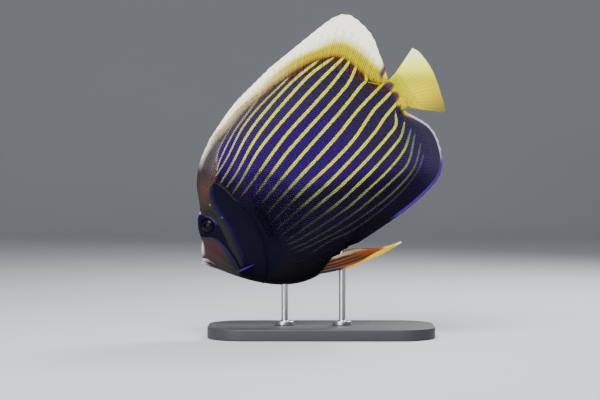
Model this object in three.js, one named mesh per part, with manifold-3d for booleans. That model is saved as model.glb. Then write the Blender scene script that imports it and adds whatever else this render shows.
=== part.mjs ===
// Adult emperor angelfish, life size, swimming nose-down above a plain display stand.
// Millimetres, +Z up. The origin is the middle of the stand's underside.
// The fish is shaped level in a frame of its own: x runs from the snout to the tail, z to the
// back, and the mouth is at the origin. Its left side is -Y. It is then pitched onto the rods.
import * as THREE from 'three';
import { mergeVertices } from 'three/addons/utils/BufferGeometryUtils.js';
import Module from 'manifold-3d';

const wasm = await Module();
wasm.setup();

// Pose of the fish on its stand
const PITCH = THREE.MathUtils.degToRad(35);
const MOUTH_X = -122;
const MOUTH_Z = 82;
const GAP = 0.3;
const CLEAR = GAP + 0.1;
const LEFT = -1;
const RIGHT = 1;
const ACROSS = new THREE.Vector3(0, 1, 0);

// Stand
const BASE_LENGTH = 236;
const BASE_WIDTH = 116;
const BASE_HEIGHT = 12;
const BASE_CORNER = 40;
const BASE_EDGE = 1.5;
const ROD_RADIUS = 3.5;
const ROD_FOOT_RADIUS = 10;
const ROD_FOOT_HEIGHT = 4;
const ROD_FOOT_CHAMFER = 1;
const ROD_TOP = MOUTH_Z + 60;
const ROD_FRONT_X = MOUTH_X + 84;
const ROD_REAR_X = MOUTH_X + 144;

// Trunk, head and tail stalk without the fins: [station, value] pairs
const SNOUT = -2.5;
const TAIL_END = 264;
const BACK = through([
  [-2.5, -1.5], [0, 3.8], [4, 10.3], [8.5, 16.5], [12, 27], [17, 35.5], [25, 43], [38, 67.5],
  [46, 77], [57, 86.5], [70, 94], [100, 103.5], [140, 107.5], [180, 102.5], [200, 96], [218, 86],
  [233, 73], [244, 59], [251, 49], [258, 43], [264, 41.5],
]);
const BELLY = through([
  [-2.5, -6], [0, -11], [3, -15], [16, -34], [30, -51], [50, -69], [75, -81], [90, -83], [105, -80.5],
  [128, -77], [145, -73], [160, -67], [180, -57], [200, -44.5], [215, -33], [230, -19], [242, -5.5],
  [250, 3], [257, 7], [264, 7],
]);
const HALF_WIDTH = through([
  [-2.5, 3.5], [0, 5], [5, 8], [10, 11], [20, 16], [30, 19], [45, 22], [65, 24], [95, 25], [125, 24],
  [155, 21.5], [200, 16.2], [220, 12.8], [240, 9], [256, 6.3], [264, 5.4],
]);
// How pinched a section is toward the back and the belly: 1 is an ellipse, more is a wedge
const BACK_PINCH = through([
  [-2.5, 1], [20, 0.9], [45, 1.05], [80, 1.35], [130, 1.6], [220, 1.7], [264, 1.1],
]);
const BELLY_PINCH = through([
  [-2.5, 1], [60, 1], [95, 0.9], [130, 1.3], [170, 1.65], [230, 1.7], [264, 1.1],
]);

// Lines that part the body, in side view
const GILL_OPENING = [[56, 60], [60, 48], [61, 35], [64, 5], [61, -18], [50, -42], [38, -56]];
const NAPE_CUT = [[72, 108], [66, 92], [58, 70]];
const CHEEK_EDGE = [[50, 57], [45, 50], [41, 28], [40, 15], [38, 0], [35, -12], [31, -27], [31, -44]];
const THROAT_CUT = [[35, -60], [30, -72]];
const WAIST_CUT = [[146, 120], [142, 60], [143, 0], [148, -90]];
const STALK_CUT = [[232, 90], [236, 60], [238, 30], [237, 0], [232, -30]];
const JAW_CUT = [[-2, 10], [3, 5], [8, -2], [12, -9], [12, -13], [8, -19], [2, -25]];
const MOUTH_LINE = [[-8, 1.5], [-2.5, -2.3], [0.5, -5.2], [3, -9.2], [5, -13.2], [9, -20.5]];
const MOUTH_OPENING = 0.9;
const LIP_RADIUS = 1.7;
const LIP_LINE = MOUTH_LINE.slice(1, 5);
const LIP_INSET = 0.92;
const LIP_SPACING = 0.8;
const LIP_ROUNDNESS = 1.6;
const GILL_COVER_DEPTH = 4;
const GILL_COVER_RISE = 0.8;

// Eyes, nostrils and cheek spines
const EYE_X = 22.5;
const EYE_Z = 25.5;
const EYE_RADIUS = 8;
const EYE_DEPTH = 5.5;
const EYE_BULGE = 2.6;
const EYE_RIM_RADIUS = 8.9;
const EYE_RIM_THICK = 1.2;
const EYE_RIM_SINK = 0.2;
const NOSTRILS = [[11, 13.6], [14.6, 17.2]];
const NOSTRIL_RADIUS = 1.3;
const NOSTRIL_RIM = 0.55;
const NOSTRIL_HOLE = 1;
const SPINE_ROOT = [20.5, -31.5];
const SPINE_TIP = [42, -34.3];
const SPINE_RADIUS = 2.3;
const SPINE_LIFT = 3.2;

// Fins, in side view. rootHalf is half the thickness at the root, bend bows the rays by a share of
// their length, and notch cuts the membrane back between them at the margin.
const ROOT_DEPTH = 5;
const MEMBRANE_HALF = 0.32;
const RIDGE = 0.35;
const RIDGE_TAPER = 0.6;
const NOTCH = 0.02;
const SPINY_DORSAL = {
  start: 66,
  end: 150 - GAP / 2,
  margin: [[77, 98.5], [95, 105.5], [108, 110.3], [123, 114.7], [142, 118.2], [168, 122.7]],
  bend: 0.04,
  rays: 14,
  rows: 4,
  rootHalf: 4,
  notch: 0.12,
};
const SOFT_DORSAL = {
  start: 150 + GAP,
  end: 256,
  margin: [
    [168 + 2 * GAP, 122.7], [200, 125], [240, 127.8], [256, 127.5], [266, 123.5], [272, 115],
    [276, 97], [275.5, 84], [272, 71], [268, 54], [264.5, 46.5],
  ],
  bend: 0.05,
  rays: 20,
  rows: 6,
  rootHalf: 4,
};
const ANAL = {
  start: 130,
  end: 252,
  margin: [
    [142, -79.3], [160, -80], [200, -80.3], [230, -77], [250, -71], [262, -59], [270.5, -38],
    [271, -22], [266, -9], [259.5, 4],
  ],
  bend: -0.05,
  rays: 22,
  rows: 6,
  rootHalf: 4,
};
const TAIL = {
  root: [[258, 38.5], [258, 10.5]],
  margin: [[303, 54.5], [306.5, 46], [307, 27], [304, 11], [300, -2], [297, -12], [293, -20.5]],
  rays: 17,
  rows: 6,
  rootHalf: 3.6,
};
const PECTORAL = {
  root: [[69, 1], [66, -17]],
  sink: 3,
  fan: [68, -28],
  lengths: [44, 56, 58, 50, 36],
  spread: THREE.MathUtils.degToRad(35),
  rays: 17,
  rows: 5,
  rootHalf: 1.5,
};
const PELVIC = {
  root: [[83, -79.5], [101, -74]],
  margin: [[180, -104.5], [163, -99.8], [148, -91.8], [138, -84.5], [129, -79.8]],
  inset: 5,
  splay: 5,
  bend: -0.06,
  rays: 6,
  rows: 8,
  rootHalf: 1.4,
  notch: 0.005,
};

// Colours and finish
const HEAD = finish(0x3a3e4a, 0.45);
const SNOUT_SKIN = finish(0x9a7f8c, 0.45);
const TRUNK = finish(0x2b2f74, 0.4);
const GILL = finish(0x15182c, 0.4);
const SPINE_BLUE = finish(0x3a55d8, 0.35);
const EYE = finish(0x0a0a0e, 0.12);
const YELLOW_FIN = finish(0xe6d94a, 0.45);
const DARK_FIN = finish(0x171a38, 0.45);
const RED_FIN = finish(0x6e2a2c, 0.45);
const STAND = finish(0x26282c, 0.5);
const STEEL = finish(0xb4b7bb, 0.3, 0.9);

/** A plain finish of one colour. */
function finish(color, roughness, metalness = 0) {
  return new THREE.MeshStandardMaterial({ color, roughness, metalness });
}

/** A smooth function through [station, value] pairs, with each slope taken from both neighbours. */
function through(knots) {
  const rise = (i) => (knots[i + 1][1] - knots[i][1]) / (knots[i + 1][0] - knots[i][0]);
  const slopes = knots.map((knot, i) => {
    if (i === 0) return rise(0);
    if (i === knots.length - 1) return rise(i - 1);
    const before = knot[0] - knots[i - 1][0];
    const after = knots[i + 1][0] - knot[0];
    return (rise(i - 1) * after + rise(i) * before) / (before + after);
  });
  return (x) => {
    let i = 0;
    while (i < knots.length - 2 && x > knots[i + 1][0]) i += 1;
    const [x0, y0] = knots[i];
    const [x1, y1] = knots[i + 1];
    const span = x1 - x0;
    const t = THREE.MathUtils.clamp((x - x0) / span, 0, 1);
    const back = 1 - t;
    const ends = y0 * (1 + 2 * t) * back * back + y1 * (3 - 2 * t) * t * t;
    return ends + span * (slopes[i] * t * back * back - slopes[i + 1] * t * t * back);
  };
}

/** Half the body's width at a place in side view. */
function halfWidth(x, z) {
  const middle = (BACK(x) + BELLY(x)) / 2;
  const reach = (BACK(x) - BELLY(x)) / 2;
  const height = THREE.MathUtils.clamp((z - middle) / reach, -1, 1);
  const pinch = height > 0 ? BACK_PINCH(x) : BELLY_PINCH(x);
  return HALF_WIDTH(x) * (1 - height * height) ** (pinch / 2);
}

/** The skin's place and outward direction on one side of the body. */
function onSkin(x, z, side) {
  const step = 0.2;
  const slopeX = (halfWidth(x + step, z) - halfWidth(x - step, z)) / (2 * step);
  const slopeZ = (halfWidth(x, z + step) - halfWidth(x, z - step)) / (2 * step);
  return {
    place: new THREE.Vector3(x, side * halfWidth(x, z), z),
    out: new THREE.Vector3(-slopeX, side, -slopeZ).normalize(),
  };
}

/** A geometry from a list of points and a list of triangles, its faces turned outward. */
function closedGeometry(points, triangles) {
  const volume = triangles.reduce((sum, [a, b, c]) => {
    const cross = new THREE.Vector3().crossVectors(points[b], points[c]);
    return sum + points[a].dot(cross);
  }, 0);
  const index = triangles.flatMap(([a, b, c]) => (volume > 0 ? [a, b, c] : [a, c, b]));
  const geometry = new THREE.BufferGeometry().setFromPoints(points);
  geometry.setIndex(index);
  return geometry;
}

/** A closed geometry as a solid, with its shared corners merged. */
function solid(geometry) {
  const bare = geometry.clone();
  bare.deleteAttribute('normal');
  bare.deleteAttribute('uv');
  const merged = mergeVertices(bare, 1e-4);
  const index = [];
  for (let i = 0; i < merged.index.count; i += 3) {
    const corners = [0, 1, 2].map((k) => merged.index.getX(i + k));
    if (new Set(corners).size === 3) index.push(...corners);
  }
  return new wasm.Manifold(new wasm.Mesh({
    numProp: 3,
    vertProperties: Float32Array.from(merged.attributes.position.array),
    triVerts: Uint32Array.from(index),
  }));
}

/** The largest closed piece of a solid. */
function largest(body) {
  return body.decompose().reduce((best, piece) => (piece.volume() > best.volume() ? piece : best));
}

/** A named mesh of a solid's largest piece. */
function mesh(name, body, material) {
  const { vertProperties, triVerts } = largest(body).getMesh();
  const geometry = new THREE.BufferGeometry();
  geometry.setAttribute('position', new THREE.BufferAttribute(Float32Array.from(vertProperties), 3));
  geometry.setIndex(new THREE.BufferAttribute(Uint32Array.from(triVerts), 1));
  geometry.computeVertexNormals();
  const made = new THREE.Mesh(geometry, material);
  made.name = name;
  return made;
}

/** The body as one lofted skin, its width made less by thin and its whole skin moved out by grow. */
function bodyGeometry(grow = 0, thin = 0) {
  const stations = 38;
  const perSide = 12;
  const crowding = 0.6;
  const around = 2 * perSide;
  const points = [];
  for (let i = 0; i <= stations; i += 1) {
    const t = i / stations;
    const x = SNOUT + (TAIL_END - SNOUT) * (t - (crowding * Math.sin(2 * Math.PI * t)) / (2 * Math.PI));
    const middle = (BACK(x) + BELLY(x)) / 2;
    const reach = (BACK(x) - BELLY(x)) / 2;
    const share = Math.max(1 - thin / HALF_WIDTH(x), 0.1);
    for (let j = 0; j < around; j += 1) {
      const side = j <= perSide ? LEFT : RIGHT;
      const turn = (Math.PI * (j <= perSide ? j : around - j)) / perSide - Math.PI / 2;
      const pinch = turn > 0 ? BACK_PINCH(x) : BELLY_PINCH(x);
      const width = HALF_WIDTH(x) * share * Math.max(Math.cos(turn), 0) ** pinch;
      points.push(new THREE.Vector3(x, side * width, middle + reach * Math.sin(turn)));
    }
  }
  const corner = (i, j) => i * around + (j % around);
  const triangles = [];
  for (let i = 0; i < stations; i += 1) {
    for (let j = 0; j < around; j += 1) {
      triangles.push([corner(i, j), corner(i + 1, j), corner(i + 1, j + 1)]);
      triangles.push([corner(i, j), corner(i + 1, j + 1), corner(i, j + 1)]);
    }
  }
  const front = points.push(new THREE.Vector3(SNOUT, 0, (BACK(SNOUT) + BELLY(SNOUT)) / 2)) - 1;
  const rear = points.push(new THREE.Vector3(TAIL_END, 0, (BACK(TAIL_END) + BELLY(TAIL_END)) / 2)) - 1;
  for (let j = 0; j < around; j += 1) {
    triangles.push([front, corner(0, j), corner(0, j + 1)]);
    triangles.push([rear, corner(stations, j + 1), corner(stations, j)]);
  }
  const geometry = closedGeometry(points, triangles);
  geometry.computeVertexNormals();
  const { position, normal } = geometry.attributes;
  for (let i = 0; i < position.count; i += 1) {
    const moved = new THREE.Vector3().fromBufferAttribute(position, i);
    moved.addScaledVector(new THREE.Vector3().fromBufferAttribute(normal, i), grow);
    position.setXYZ(i, moved.x, moved.y, moved.z);
  }
  return geometry;
}

/** A line in side view, moved sideways by an amount: to the left of its run when positive. */
function beside(line, amount, closed = false) {
  return line.map(([x, z], i) => {
    const last = line.length - 1;
    const before = line[i > 0 ? i - 1 : closed ? last : 0];
    const after = line[i < last ? i + 1 : closed ? 0 : last];
    const run = new THREE.Vector2(after[0] - before[0], after[1] - before[1]).normalize();
    return [x - run.y * amount, z + run.x * amount];
  });
}

/** A rounded run of points through a line's corners. */
function smooth(line, steps = 16) {
  const curve = new THREE.SplineCurve(line.map(([x, z]) => new THREE.Vector2(x, z)));
  return curve.getPoints(steps).map((p) => [p.x, p.y]);
}

/** An outline in side view as a solid that runs right across the fish. */
function across(outline) {
  const reach = 70;
  const shape = new THREE.Shape(outline.map(([x, z]) => new THREE.Vector2(x, z)));
  const geometry = new THREE.ExtrudeGeometry(shape, { depth: 2 * reach, bevelEnabled: false });
  geometry.rotateX(Math.PI / 2);
  geometry.translate(0, reach, 0);
  return solid(geometry);
}

/** A thin curved cut along a line in side view. */
function cut(line, width = GAP) {
  const run = smooth(line);
  return across([...beside(run, width / 2), ...beside(run, -width / 2).reverse()]);
}

/** The pieces of a solid, from the snout to the tail. */
function inOrder(body) {
  const middle = (piece) => piece.boundingBox().min[0] + piece.boundingBox().max[0];
  return body.decompose().filter((piece) => piece.volume() > 1).sort((a, b) => middle(a) - middle(b));
}

/** The piece of a solid on one side of the fish. */
function onSide(body, side) {
  return body.decompose().filter((piece) => piece.volume() > 1).find((piece) => {
    const box = piece.boundingBox();
    return (box.min[1] + box.max[1]) * side > 0;
  });
}

/** An oval ball on the skin, flattened along the way out of it. */
function eyeBall(side, extra = 0) {
  const { place, out } = onSkin(EYE_X, EYE_Z, side);
  const geometry = new THREE.SphereGeometry(1, 18, 9);
  geometry.scale(EYE_RADIUS + extra, EYE_DEPTH + extra, EYE_RADIUS + extra);
  geometry.applyQuaternion(new THREE.Quaternion().setFromUnitVectors(new THREE.Vector3(0, 1, 0), out));
  const centre = place.clone().addScaledVector(out, EYE_BULGE - EYE_DEPTH);
  geometry.translate(centre.x, centre.y, centre.z);
  return solid(geometry);
}

/** A round rim that lies on the skin. */
function rim(x, z, side, radius, thick, steps, lift = 0) {
  const { place, out } = onSkin(x, z, side);
  const geometry = new THREE.TorusGeometry(radius, thick, 5, steps);
  geometry.applyQuaternion(new THREE.Quaternion().setFromUnitVectors(new THREE.Vector3(0, 0, 1), out));
  const centre = place.clone().addScaledVector(out, lift);
  geometry.translate(centre.x, centre.y, centre.z);
  return solid(geometry);
}

/** The hole of a nostril. */
function nostrilHole(x, z, side) {
  const { place, out } = onSkin(x, z, side);
  const geometry = new THREE.SphereGeometry(NOSTRIL_HOLE, 6, 4);
  const centre = place.clone().addScaledVector(out, NOSTRIL_HOLE / 5);
  geometry.translate(centre.x, centre.y, centre.z);
  return solid(geometry);
}

/** A lip as a bent tube on one side of the mouth line, from corner to corner. */
function lip(way) {
  const line = new THREE.SplineCurve(LIP_LINE.map(([x, z]) => new THREE.Vector2(x, z)));
  const half = 5;
  const route = [];
  for (let i = -half; i <= half; i += 1) {
    const share = (Math.abs(i) / half) ** LIP_ROUNDNESS;
    const away = line.getTangentAt(share).rotateAround(new THREE.Vector2(), Math.PI / 2);
    const { x, y: z } = line.getPointAt(share).addScaledVector(away, way * LIP_RADIUS * LIP_SPACING);
    route.push(new THREE.Vector3(x, Math.sign(i) * halfWidth(x, z) * LIP_INSET, z));
  }
  const section = new THREE.Shape().absarc(0, 0, LIP_RADIUS, 0, 2 * Math.PI);
  const path = new THREE.CatmullRomCurve3(route);
  return solid(new THREE.ExtrudeGeometry(section, { steps: 12, curveSegments: 4, extrudePath: path }));
}

/** A cheek spine: a cone from inside the cheek back over the gill cover. */
function cheekSpine(side) {
  const root = onSkin(...SPINE_ROOT, side).place;
  const tip = onSkin(...SPINE_TIP, side);
  const end = tip.place.clone().addScaledVector(tip.out, SPINE_LIFT);
  const run = end.clone().sub(root);
  const geometry = new THREE.ConeGeometry(SPINE_RADIUS, run.length(), 8, 3);
  geometry.translate(0, run.length() / 2, 0);
  const up = new THREE.Vector3(0, 1, 0);
  geometry.applyQuaternion(new THREE.Quaternion().setFromUnitVectors(up, run.normalize()));
  geometry.translate(root.x, root.y, root.z);
  return solid(geometry);
}

/** A point on a curve in side view. */
function along(line, share) {
  const curve = new THREE.SplineCurve(line.map(([x, z]) => new THREE.Vector2(x, z)));
  curve.arcLengthDivisions = 100;
  const point = curve.getPointAt(THREE.MathUtils.clamp(share, 0, 1));
  return new THREE.Vector3(point.x, 0, point.y);
}

/**
 * A fin as one closed sheet. Every second column of its grid is a ray, raised on both faces,
 * and the columns between are membrane, cut back a little at the margin.
 * middle(s, t) is the sheet's middle: s runs along the root, t from the root to the margin.
 * face is the direction out of the sheet, straight across the fish for an upright fin.
 */
function fin({ rays, rows, middle, face, rootHalf, notch = NOTCH }) {
  const columns = 2 * rays - 1;
  const points = [];
  for (const way of [1, -1]) {
    for (let c = 0; c < columns; c += 1) {
      const onRay = c % 2 === 0;
      for (let r = 0; r <= rows; r += 1) {
        const t = (r / rows) * (onRay ? 1 : 1 - notch);
        const raised = onRay ? RIDGE * (1 - RIDGE_TAPER * t) : 0;
        const half = MEMBRANE_HALF + (rootHalf - MEMBRANE_HALF) * (1 - t) ** 3 + raised;
        const s = c / (columns - 1);
        points.push(middle(s, t).addScaledVector(face, way * half));
      }
    }
  }
  const corner = (layer, c, r) => (layer * columns + c) * (rows + 1) + r;
  const triangles = [];
  const quad = (a, b, c, d) => triangles.push([a, b, c], [a, c, d]);
  for (let c = 0; c < columns - 1; c += 1) {
    for (let r = 0; r < rows; r += 1) {
      quad(corner(0, c, r), corner(0, c + 1, r), corner(0, c + 1, r + 1), corner(0, c, r + 1));
      triangles.push([corner(1, c, r), corner(1, c + 1, r + 1), corner(1, c + 1, r)]);
      triangles.push([corner(1, c, r), corner(1, c, r + 1), corner(1, c + 1, r + 1)]);
    }
    quad(corner(0, c, 0), corner(1, c, 0), corner(1, c + 1, 0), corner(0, c + 1, 0));
    quad(corner(0, c, rows), corner(0, c + 1, rows), corner(1, c + 1, rows), corner(1, c, rows));
  }
  for (let r = 0; r < rows; r += 1) {
    quad(corner(0, 0, r), corner(0, 0, r + 1), corner(1, 0, r + 1), corner(1, 0, r));
    const end = columns - 1;
    quad(corner(0, end, r), corner(1, end, r), corner(1, end, r + 1), corner(0, end, r + 1));
  }
  return solid(closedGeometry(points, triangles));
}

/** The middle of a fin whose rays run from a root line to a margin line, bent by a share of length. */
function rayed(root, margin, bend) {
  return (s, t) => {
    const start = along(root, s);
    const end = along(margin, s);
    const run = end.clone().sub(start);
    const bulge = new THREE.Vector3(-run.z, 0, run.x).multiplyScalar(bend * 4 * t * (1 - t));
    return start.addScaledVector(run, t).add(bulge);
  };
}

/** The root line of an upright fin: the body's own back or belly line, moved into the body. */
function sunk(line, from, to, depth) {
  const count = 8;
  return Array.from({ length: count + 1 }, (_, i) => {
    const x = from + ((to - from) * i) / count;
    return [x, line(x) + depth];
  });
}

/** An upright fin on the body's back or belly line, its root at a depth inside the body. */
function upright(line, depth, { start, end, margin, bend, ...sheet }) {
  const root = sunk(line, start, end, depth);
  return fin({ ...sheet, face: ACROSS, middle: rayed(root, margin, bend) });
}

/** The tail fin: a fan of straight rays. */
function tail({ root, margin, ...sheet }) {
  return fin({ ...sheet, face: ACROSS, middle: rayed(root, margin, 0) });
}

/** A pectoral fin: rays that fan out from a short root and stand away from the flank. */
function pectoral(side, { root, sink, fan, lengths, spread, ...sheet }) {
  const out = new THREE.Vector3(Math.cos(spread), side * Math.sin(spread), 0);
  const face = new THREE.Vector3(-out.y, out.x, 0);
  const reach = through(lengths.map((length, i) => [i / (lengths.length - 1), length]));
  const middle = (s, t) => {
    const start = along(root, s);
    start.y = side * (halfWidth(start.x, start.z) - sink);
    const angle = THREE.MathUtils.degToRad(THREE.MathUtils.lerp(...fan, s));
    const ray = out.clone().multiplyScalar(Math.cos(angle));
    ray.z = Math.sin(angle);
    return start.addScaledVector(ray, (reach(s) + ROOT_DEPTH) * t);
  };
  return fin({ ...sheet, face, middle });
}

/** A pelvic fin: a long blade that trails below the belly, bowed most at its leading edge. */
function pelvic(side, { root, margin, inset, splay, bend, ...sheet }) {
  const middle = (s, t) => {
    const place = rayed(root, margin, bend * (1 - s))(s, t);
    place.y = side * (inset + splay * t);
    return place;
  };
  return fin({ ...sheet, face: ACROSS, middle });
}

/** A rod with a round foot, up into the fish and cut clear of its skin. */
function rod(x, posedSkin) {
  const shoulder = ROD_FOOT_HEIGHT - ROD_FOOT_CHAMFER;
  const profile = [
    [0, 0], [ROD_FOOT_RADIUS, 0], [ROD_FOOT_RADIUS, shoulder],
    [ROD_FOOT_RADIUS - ROD_FOOT_CHAMFER, ROD_FOOT_HEIGHT], [ROD_RADIUS, ROD_FOOT_HEIGHT],
    [ROD_RADIUS, ROD_TOP], [0, ROD_TOP],
  ];
  const geometry = new THREE.LatheGeometry(profile.map(([r, h]) => new THREE.Vector2(r, h)), 16);
  geometry.rotateX(Math.PI / 2);
  geometry.translate(x, 0, BASE_HEIGHT + GAP);
  const cutRod = solid(geometry).subtract(posedSkin);
  return cutRod.decompose().sort((a, b) => a.boundingBox().min[2] - b.boundingBox().min[2])[0];
}

/** The stand's plate: a long oval with an eased edge. */
function base() {
  const half = BASE_LENGTH / 2 - BASE_EDGE;
  const side = BASE_WIDTH / 2 - BASE_EDGE;
  const corner = BASE_CORNER;
  const shape = new THREE.Shape();
  shape.absarc(half - corner, side - corner, corner, 0, Math.PI / 2);
  shape.absarc(corner - half, side - corner, corner, Math.PI / 2, Math.PI);
  shape.absarc(corner - half, corner - side, corner, Math.PI, 1.5 * Math.PI);
  shape.absarc(half - corner, corner - side, corner, 1.5 * Math.PI, 2 * Math.PI);
  const geometry = new THREE.ExtrudeGeometry(shape, {
    depth: BASE_HEIGHT - 2 * BASE_EDGE,
    bevelThickness: BASE_EDGE,
    bevelSize: BASE_EDGE,
    bevelSegments: 1,
    curveSegments: 5,
  });
  geometry.translate(0, 0, BASE_EDGE);
  return solid(geometry);
}

/** All that is flesh without fins: head, jaws, gill covers and the trunk's three lengths. */
function flesh() {
  const whole = solid(bodyGeometry());
  const nape = smooth(NAPE_CUT, 8).slice(0, -1);
  const neckLine = [...nape, ...smooth(GILL_OPENING), ...smooth(THROAT_CUT, 4)];
  const neck = across([...beside(neckLine, GAP / 2), ...beside(neckLine, -GAP / 2).reverse()]);
  const jawCut = cut(JAW_CUT);
  const [snout, head, front, rear, stalk] = inOrder(
    whole.subtract(neck).subtract(jawCut).subtract(cut(WAIST_CUT)).subtract(cut(STALK_CUT)),
  );
  const [upper, lower] = [1, -1].map((way) => {
    const half = snout.subtract(cut(MOUTH_LINE, MOUTH_OPENING)).decompose()
      .sort((a, b) => way * (b.boundingBox().max[2] - a.boundingBox().max[2]))[0];
    return largest(half.add(lip(way)).subtract(cut(MOUTH_LINE, MOUTH_OPENING)).subtract(jawCut));
  });
  const cover = [...smooth(GILL_OPENING), ...smooth(CHEEK_EDGE).reverse()];
  const core = solid(bodyGeometry(0, GILL_COVER_DEPTH));
  const pocketFloor = solid(bodyGeometry(0, GILL_COVER_DEPTH + GAP));
  const pocket = across(beside(cover, GAP, true)).subtract(pocketFloor);
  const covers = solid(bodyGeometry(GILL_COVER_RISE)).intersect(across(cover)).subtract(core);
  let face = head.subtract(pocket);
  for (const side of [LEFT, RIGHT]) {
    face = face.add(rim(EYE_X, EYE_Z, side, EYE_RIM_RADIUS, EYE_RIM_THICK, 20, -EYE_RIM_SINK));
    face = face.subtract(eyeBall(side, GAP));
    for (const [x, z] of NOSTRILS) {
      face = face.add(rim(x, z, side, NOSTRIL_RADIUS, NOSTRIL_RIM, 8));
      face = face.subtract(nostrilHole(x, z, side));
    }
  }
  return { head: face, upper, lower, covers, front: front.subtract(pocket), rear, stalk, cover };
}

const grown = solid(bodyGeometry(CLEAR));
const parts = flesh();
const raisedCover = solid(bodyGeometry(GILL_COVER_RISE + CLEAR)).intersect(
  across(beside(parts.cover, GAP, true)),
);
const pose = new THREE.Matrix4().makeRotationY(-PITCH).setPosition(MOUTH_X, 0, MOUTH_Z);
const posedSkin = solid(bodyGeometry(CLEAR).applyMatrix4(pose));

const fish = new THREE.Group();
fish.position.set(MOUTH_X, 0, MOUTH_Z);
fish.rotation.y = -PITCH;
fish.add(mesh('head', parts.head, HEAD));
fish.add(mesh('upper_jaw', parts.upper, SNOUT_SKIN));
fish.add(mesh('lower_jaw', parts.lower, SNOUT_SKIN));
fish.add(mesh('torso_front', parts.front, TRUNK));
fish.add(mesh('torso_rear', parts.rear, TRUNK));
fish.add(mesh('tail_stalk', parts.stalk, TRUNK));
fish.add(mesh('dorsal_fin_spiny', upright(BACK, -ROOT_DEPTH, SPINY_DORSAL).subtract(grown), TRUNK));
fish.add(mesh('dorsal_fin_soft', upright(BACK, -ROOT_DEPTH, SOFT_DORSAL).subtract(grown), YELLOW_FIN));
fish.add(mesh('anal_fin', upright(BELLY, ROOT_DEPTH, ANAL).subtract(grown), DARK_FIN));
fish.add(mesh('tail_fin', tail(TAIL).subtract(grown), YELLOW_FIN));
for (const [side, word] of [[LEFT, 'left'], [RIGHT, 'right']]) {
  fish.add(mesh(`eye_${word}`, eyeBall(side), EYE));
  fish.add(mesh(`gill_cover_${word}`, onSide(parts.covers, side), GILL));
  const spine = cheekSpine(side).subtract(grown).subtract(raisedCover);
  fish.add(mesh(`cheek_spine_${word}`, spine, SPINE_BLUE));
  fish.add(mesh(`pectoral_fin_${word}`, pectoral(side, PECTORAL).subtract(grown), DARK_FIN));
  fish.add(mesh(`pelvic_fin_${word}`, pelvic(side, PELVIC).subtract(grown), RED_FIN));
}

const stand = new THREE.Group();
stand.add(mesh('stand_base', base(), STAND));
stand.add(mesh('stand_rod_front', rod(ROD_FRONT_X, posedSkin), STEEL));
stand.add(mesh('stand_rod_rear', rod(ROD_REAR_X, posedSkin), STEEL));

const model = new THREE.Group();
model.add(fish, stand);

export default model;
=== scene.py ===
"""Looks of a life-size emperor angelfish model on its display stand.

The fish is worked out in millimetres in a frame of its own: x runs from the snout to the
tail, z to the back, the mouth is at the origin and the left side is at minus y. Each piece
is then pitched onto its rods and placed in the row frame, in metres.
"""

import logging
import math
from collections.abc import Callable, Sequence
from dataclasses import dataclass
from enum import Enum
from typing import Any

import bpy
import numpy as np
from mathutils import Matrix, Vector


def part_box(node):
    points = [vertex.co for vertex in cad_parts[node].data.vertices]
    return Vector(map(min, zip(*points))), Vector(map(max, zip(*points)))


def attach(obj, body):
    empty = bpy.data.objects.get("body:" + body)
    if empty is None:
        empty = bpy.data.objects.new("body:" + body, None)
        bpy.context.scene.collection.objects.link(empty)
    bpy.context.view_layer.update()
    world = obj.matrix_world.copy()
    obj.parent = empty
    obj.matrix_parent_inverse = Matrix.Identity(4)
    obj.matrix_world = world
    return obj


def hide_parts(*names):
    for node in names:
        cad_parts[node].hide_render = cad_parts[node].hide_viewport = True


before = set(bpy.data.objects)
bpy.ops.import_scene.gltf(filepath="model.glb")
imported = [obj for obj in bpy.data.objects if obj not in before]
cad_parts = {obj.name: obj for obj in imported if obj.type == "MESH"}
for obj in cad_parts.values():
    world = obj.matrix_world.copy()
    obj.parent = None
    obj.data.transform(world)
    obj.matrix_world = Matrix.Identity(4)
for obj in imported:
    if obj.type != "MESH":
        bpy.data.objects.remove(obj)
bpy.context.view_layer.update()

log = logging.getLogger("angelfish")

Array = np.ndarray
Points = Sequence[tuple[float, float]]
Colour = tuple[float, float, float, float]
Values = dict[str, Array]

MM = 0.001
PITCH = math.radians(35)
MOUTH_X = -122.0
MOUTH_Z = 82.0
SNOUT = -2.5
TAIL_END = 264.0
EYE = (22.5, 25.5)


class Side(Enum):
    """A side of the fish, with the sign of its y."""

    LEFT = -1
    RIGHT = 1

    @property
    def word(self) -> str:
        """The side's name in lower case."""
        return self.name.lower()


# Lines and profiles, in millimetres


class Profile:
    """A smooth function through knots, with each slope taken from both neighbours."""

    def __init__(self, *knots: tuple[float, float]) -> None:
        """Works out the slopes.

        Args:
            knots: (station, value) pairs in rising order of station.
        """
        self.at, self.value = np.array(knots, float).T
        rise = np.diff(self.value) / np.diff(self.at)
        before, after = np.diff(self.at)[:-1], np.diff(self.at)[1:]
        inner = (rise[:-1] * after + rise[1:] * before) / (before + after)
        self.slope = np.concatenate([rise[:1], inner, rise[-1:]])

    def __call__(self, x: Array | float) -> Array:
        """The value at stations.

        Args:
            x: one station or an array of them.

        Returns:
            The smooth value at each station, held at the ends.
        """
        x = np.asarray(x, float)
        i = np.clip(np.searchsorted(self.at, x) - 1, 0, len(self.at) - 2)
        span = self.at[i + 1] - self.at[i]
        t = np.clip((x - self.at[i]) / span, 0, 1)
        back = 1 - t
        ends = self.value[i] * (1 + 2 * t) * back**2 + self.value[i + 1] * (3 - 2 * t) * t**2
        return ends + span * (self.slope[i] * t * back**2 - self.slope[i + 1] * t**2 * back)


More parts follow.
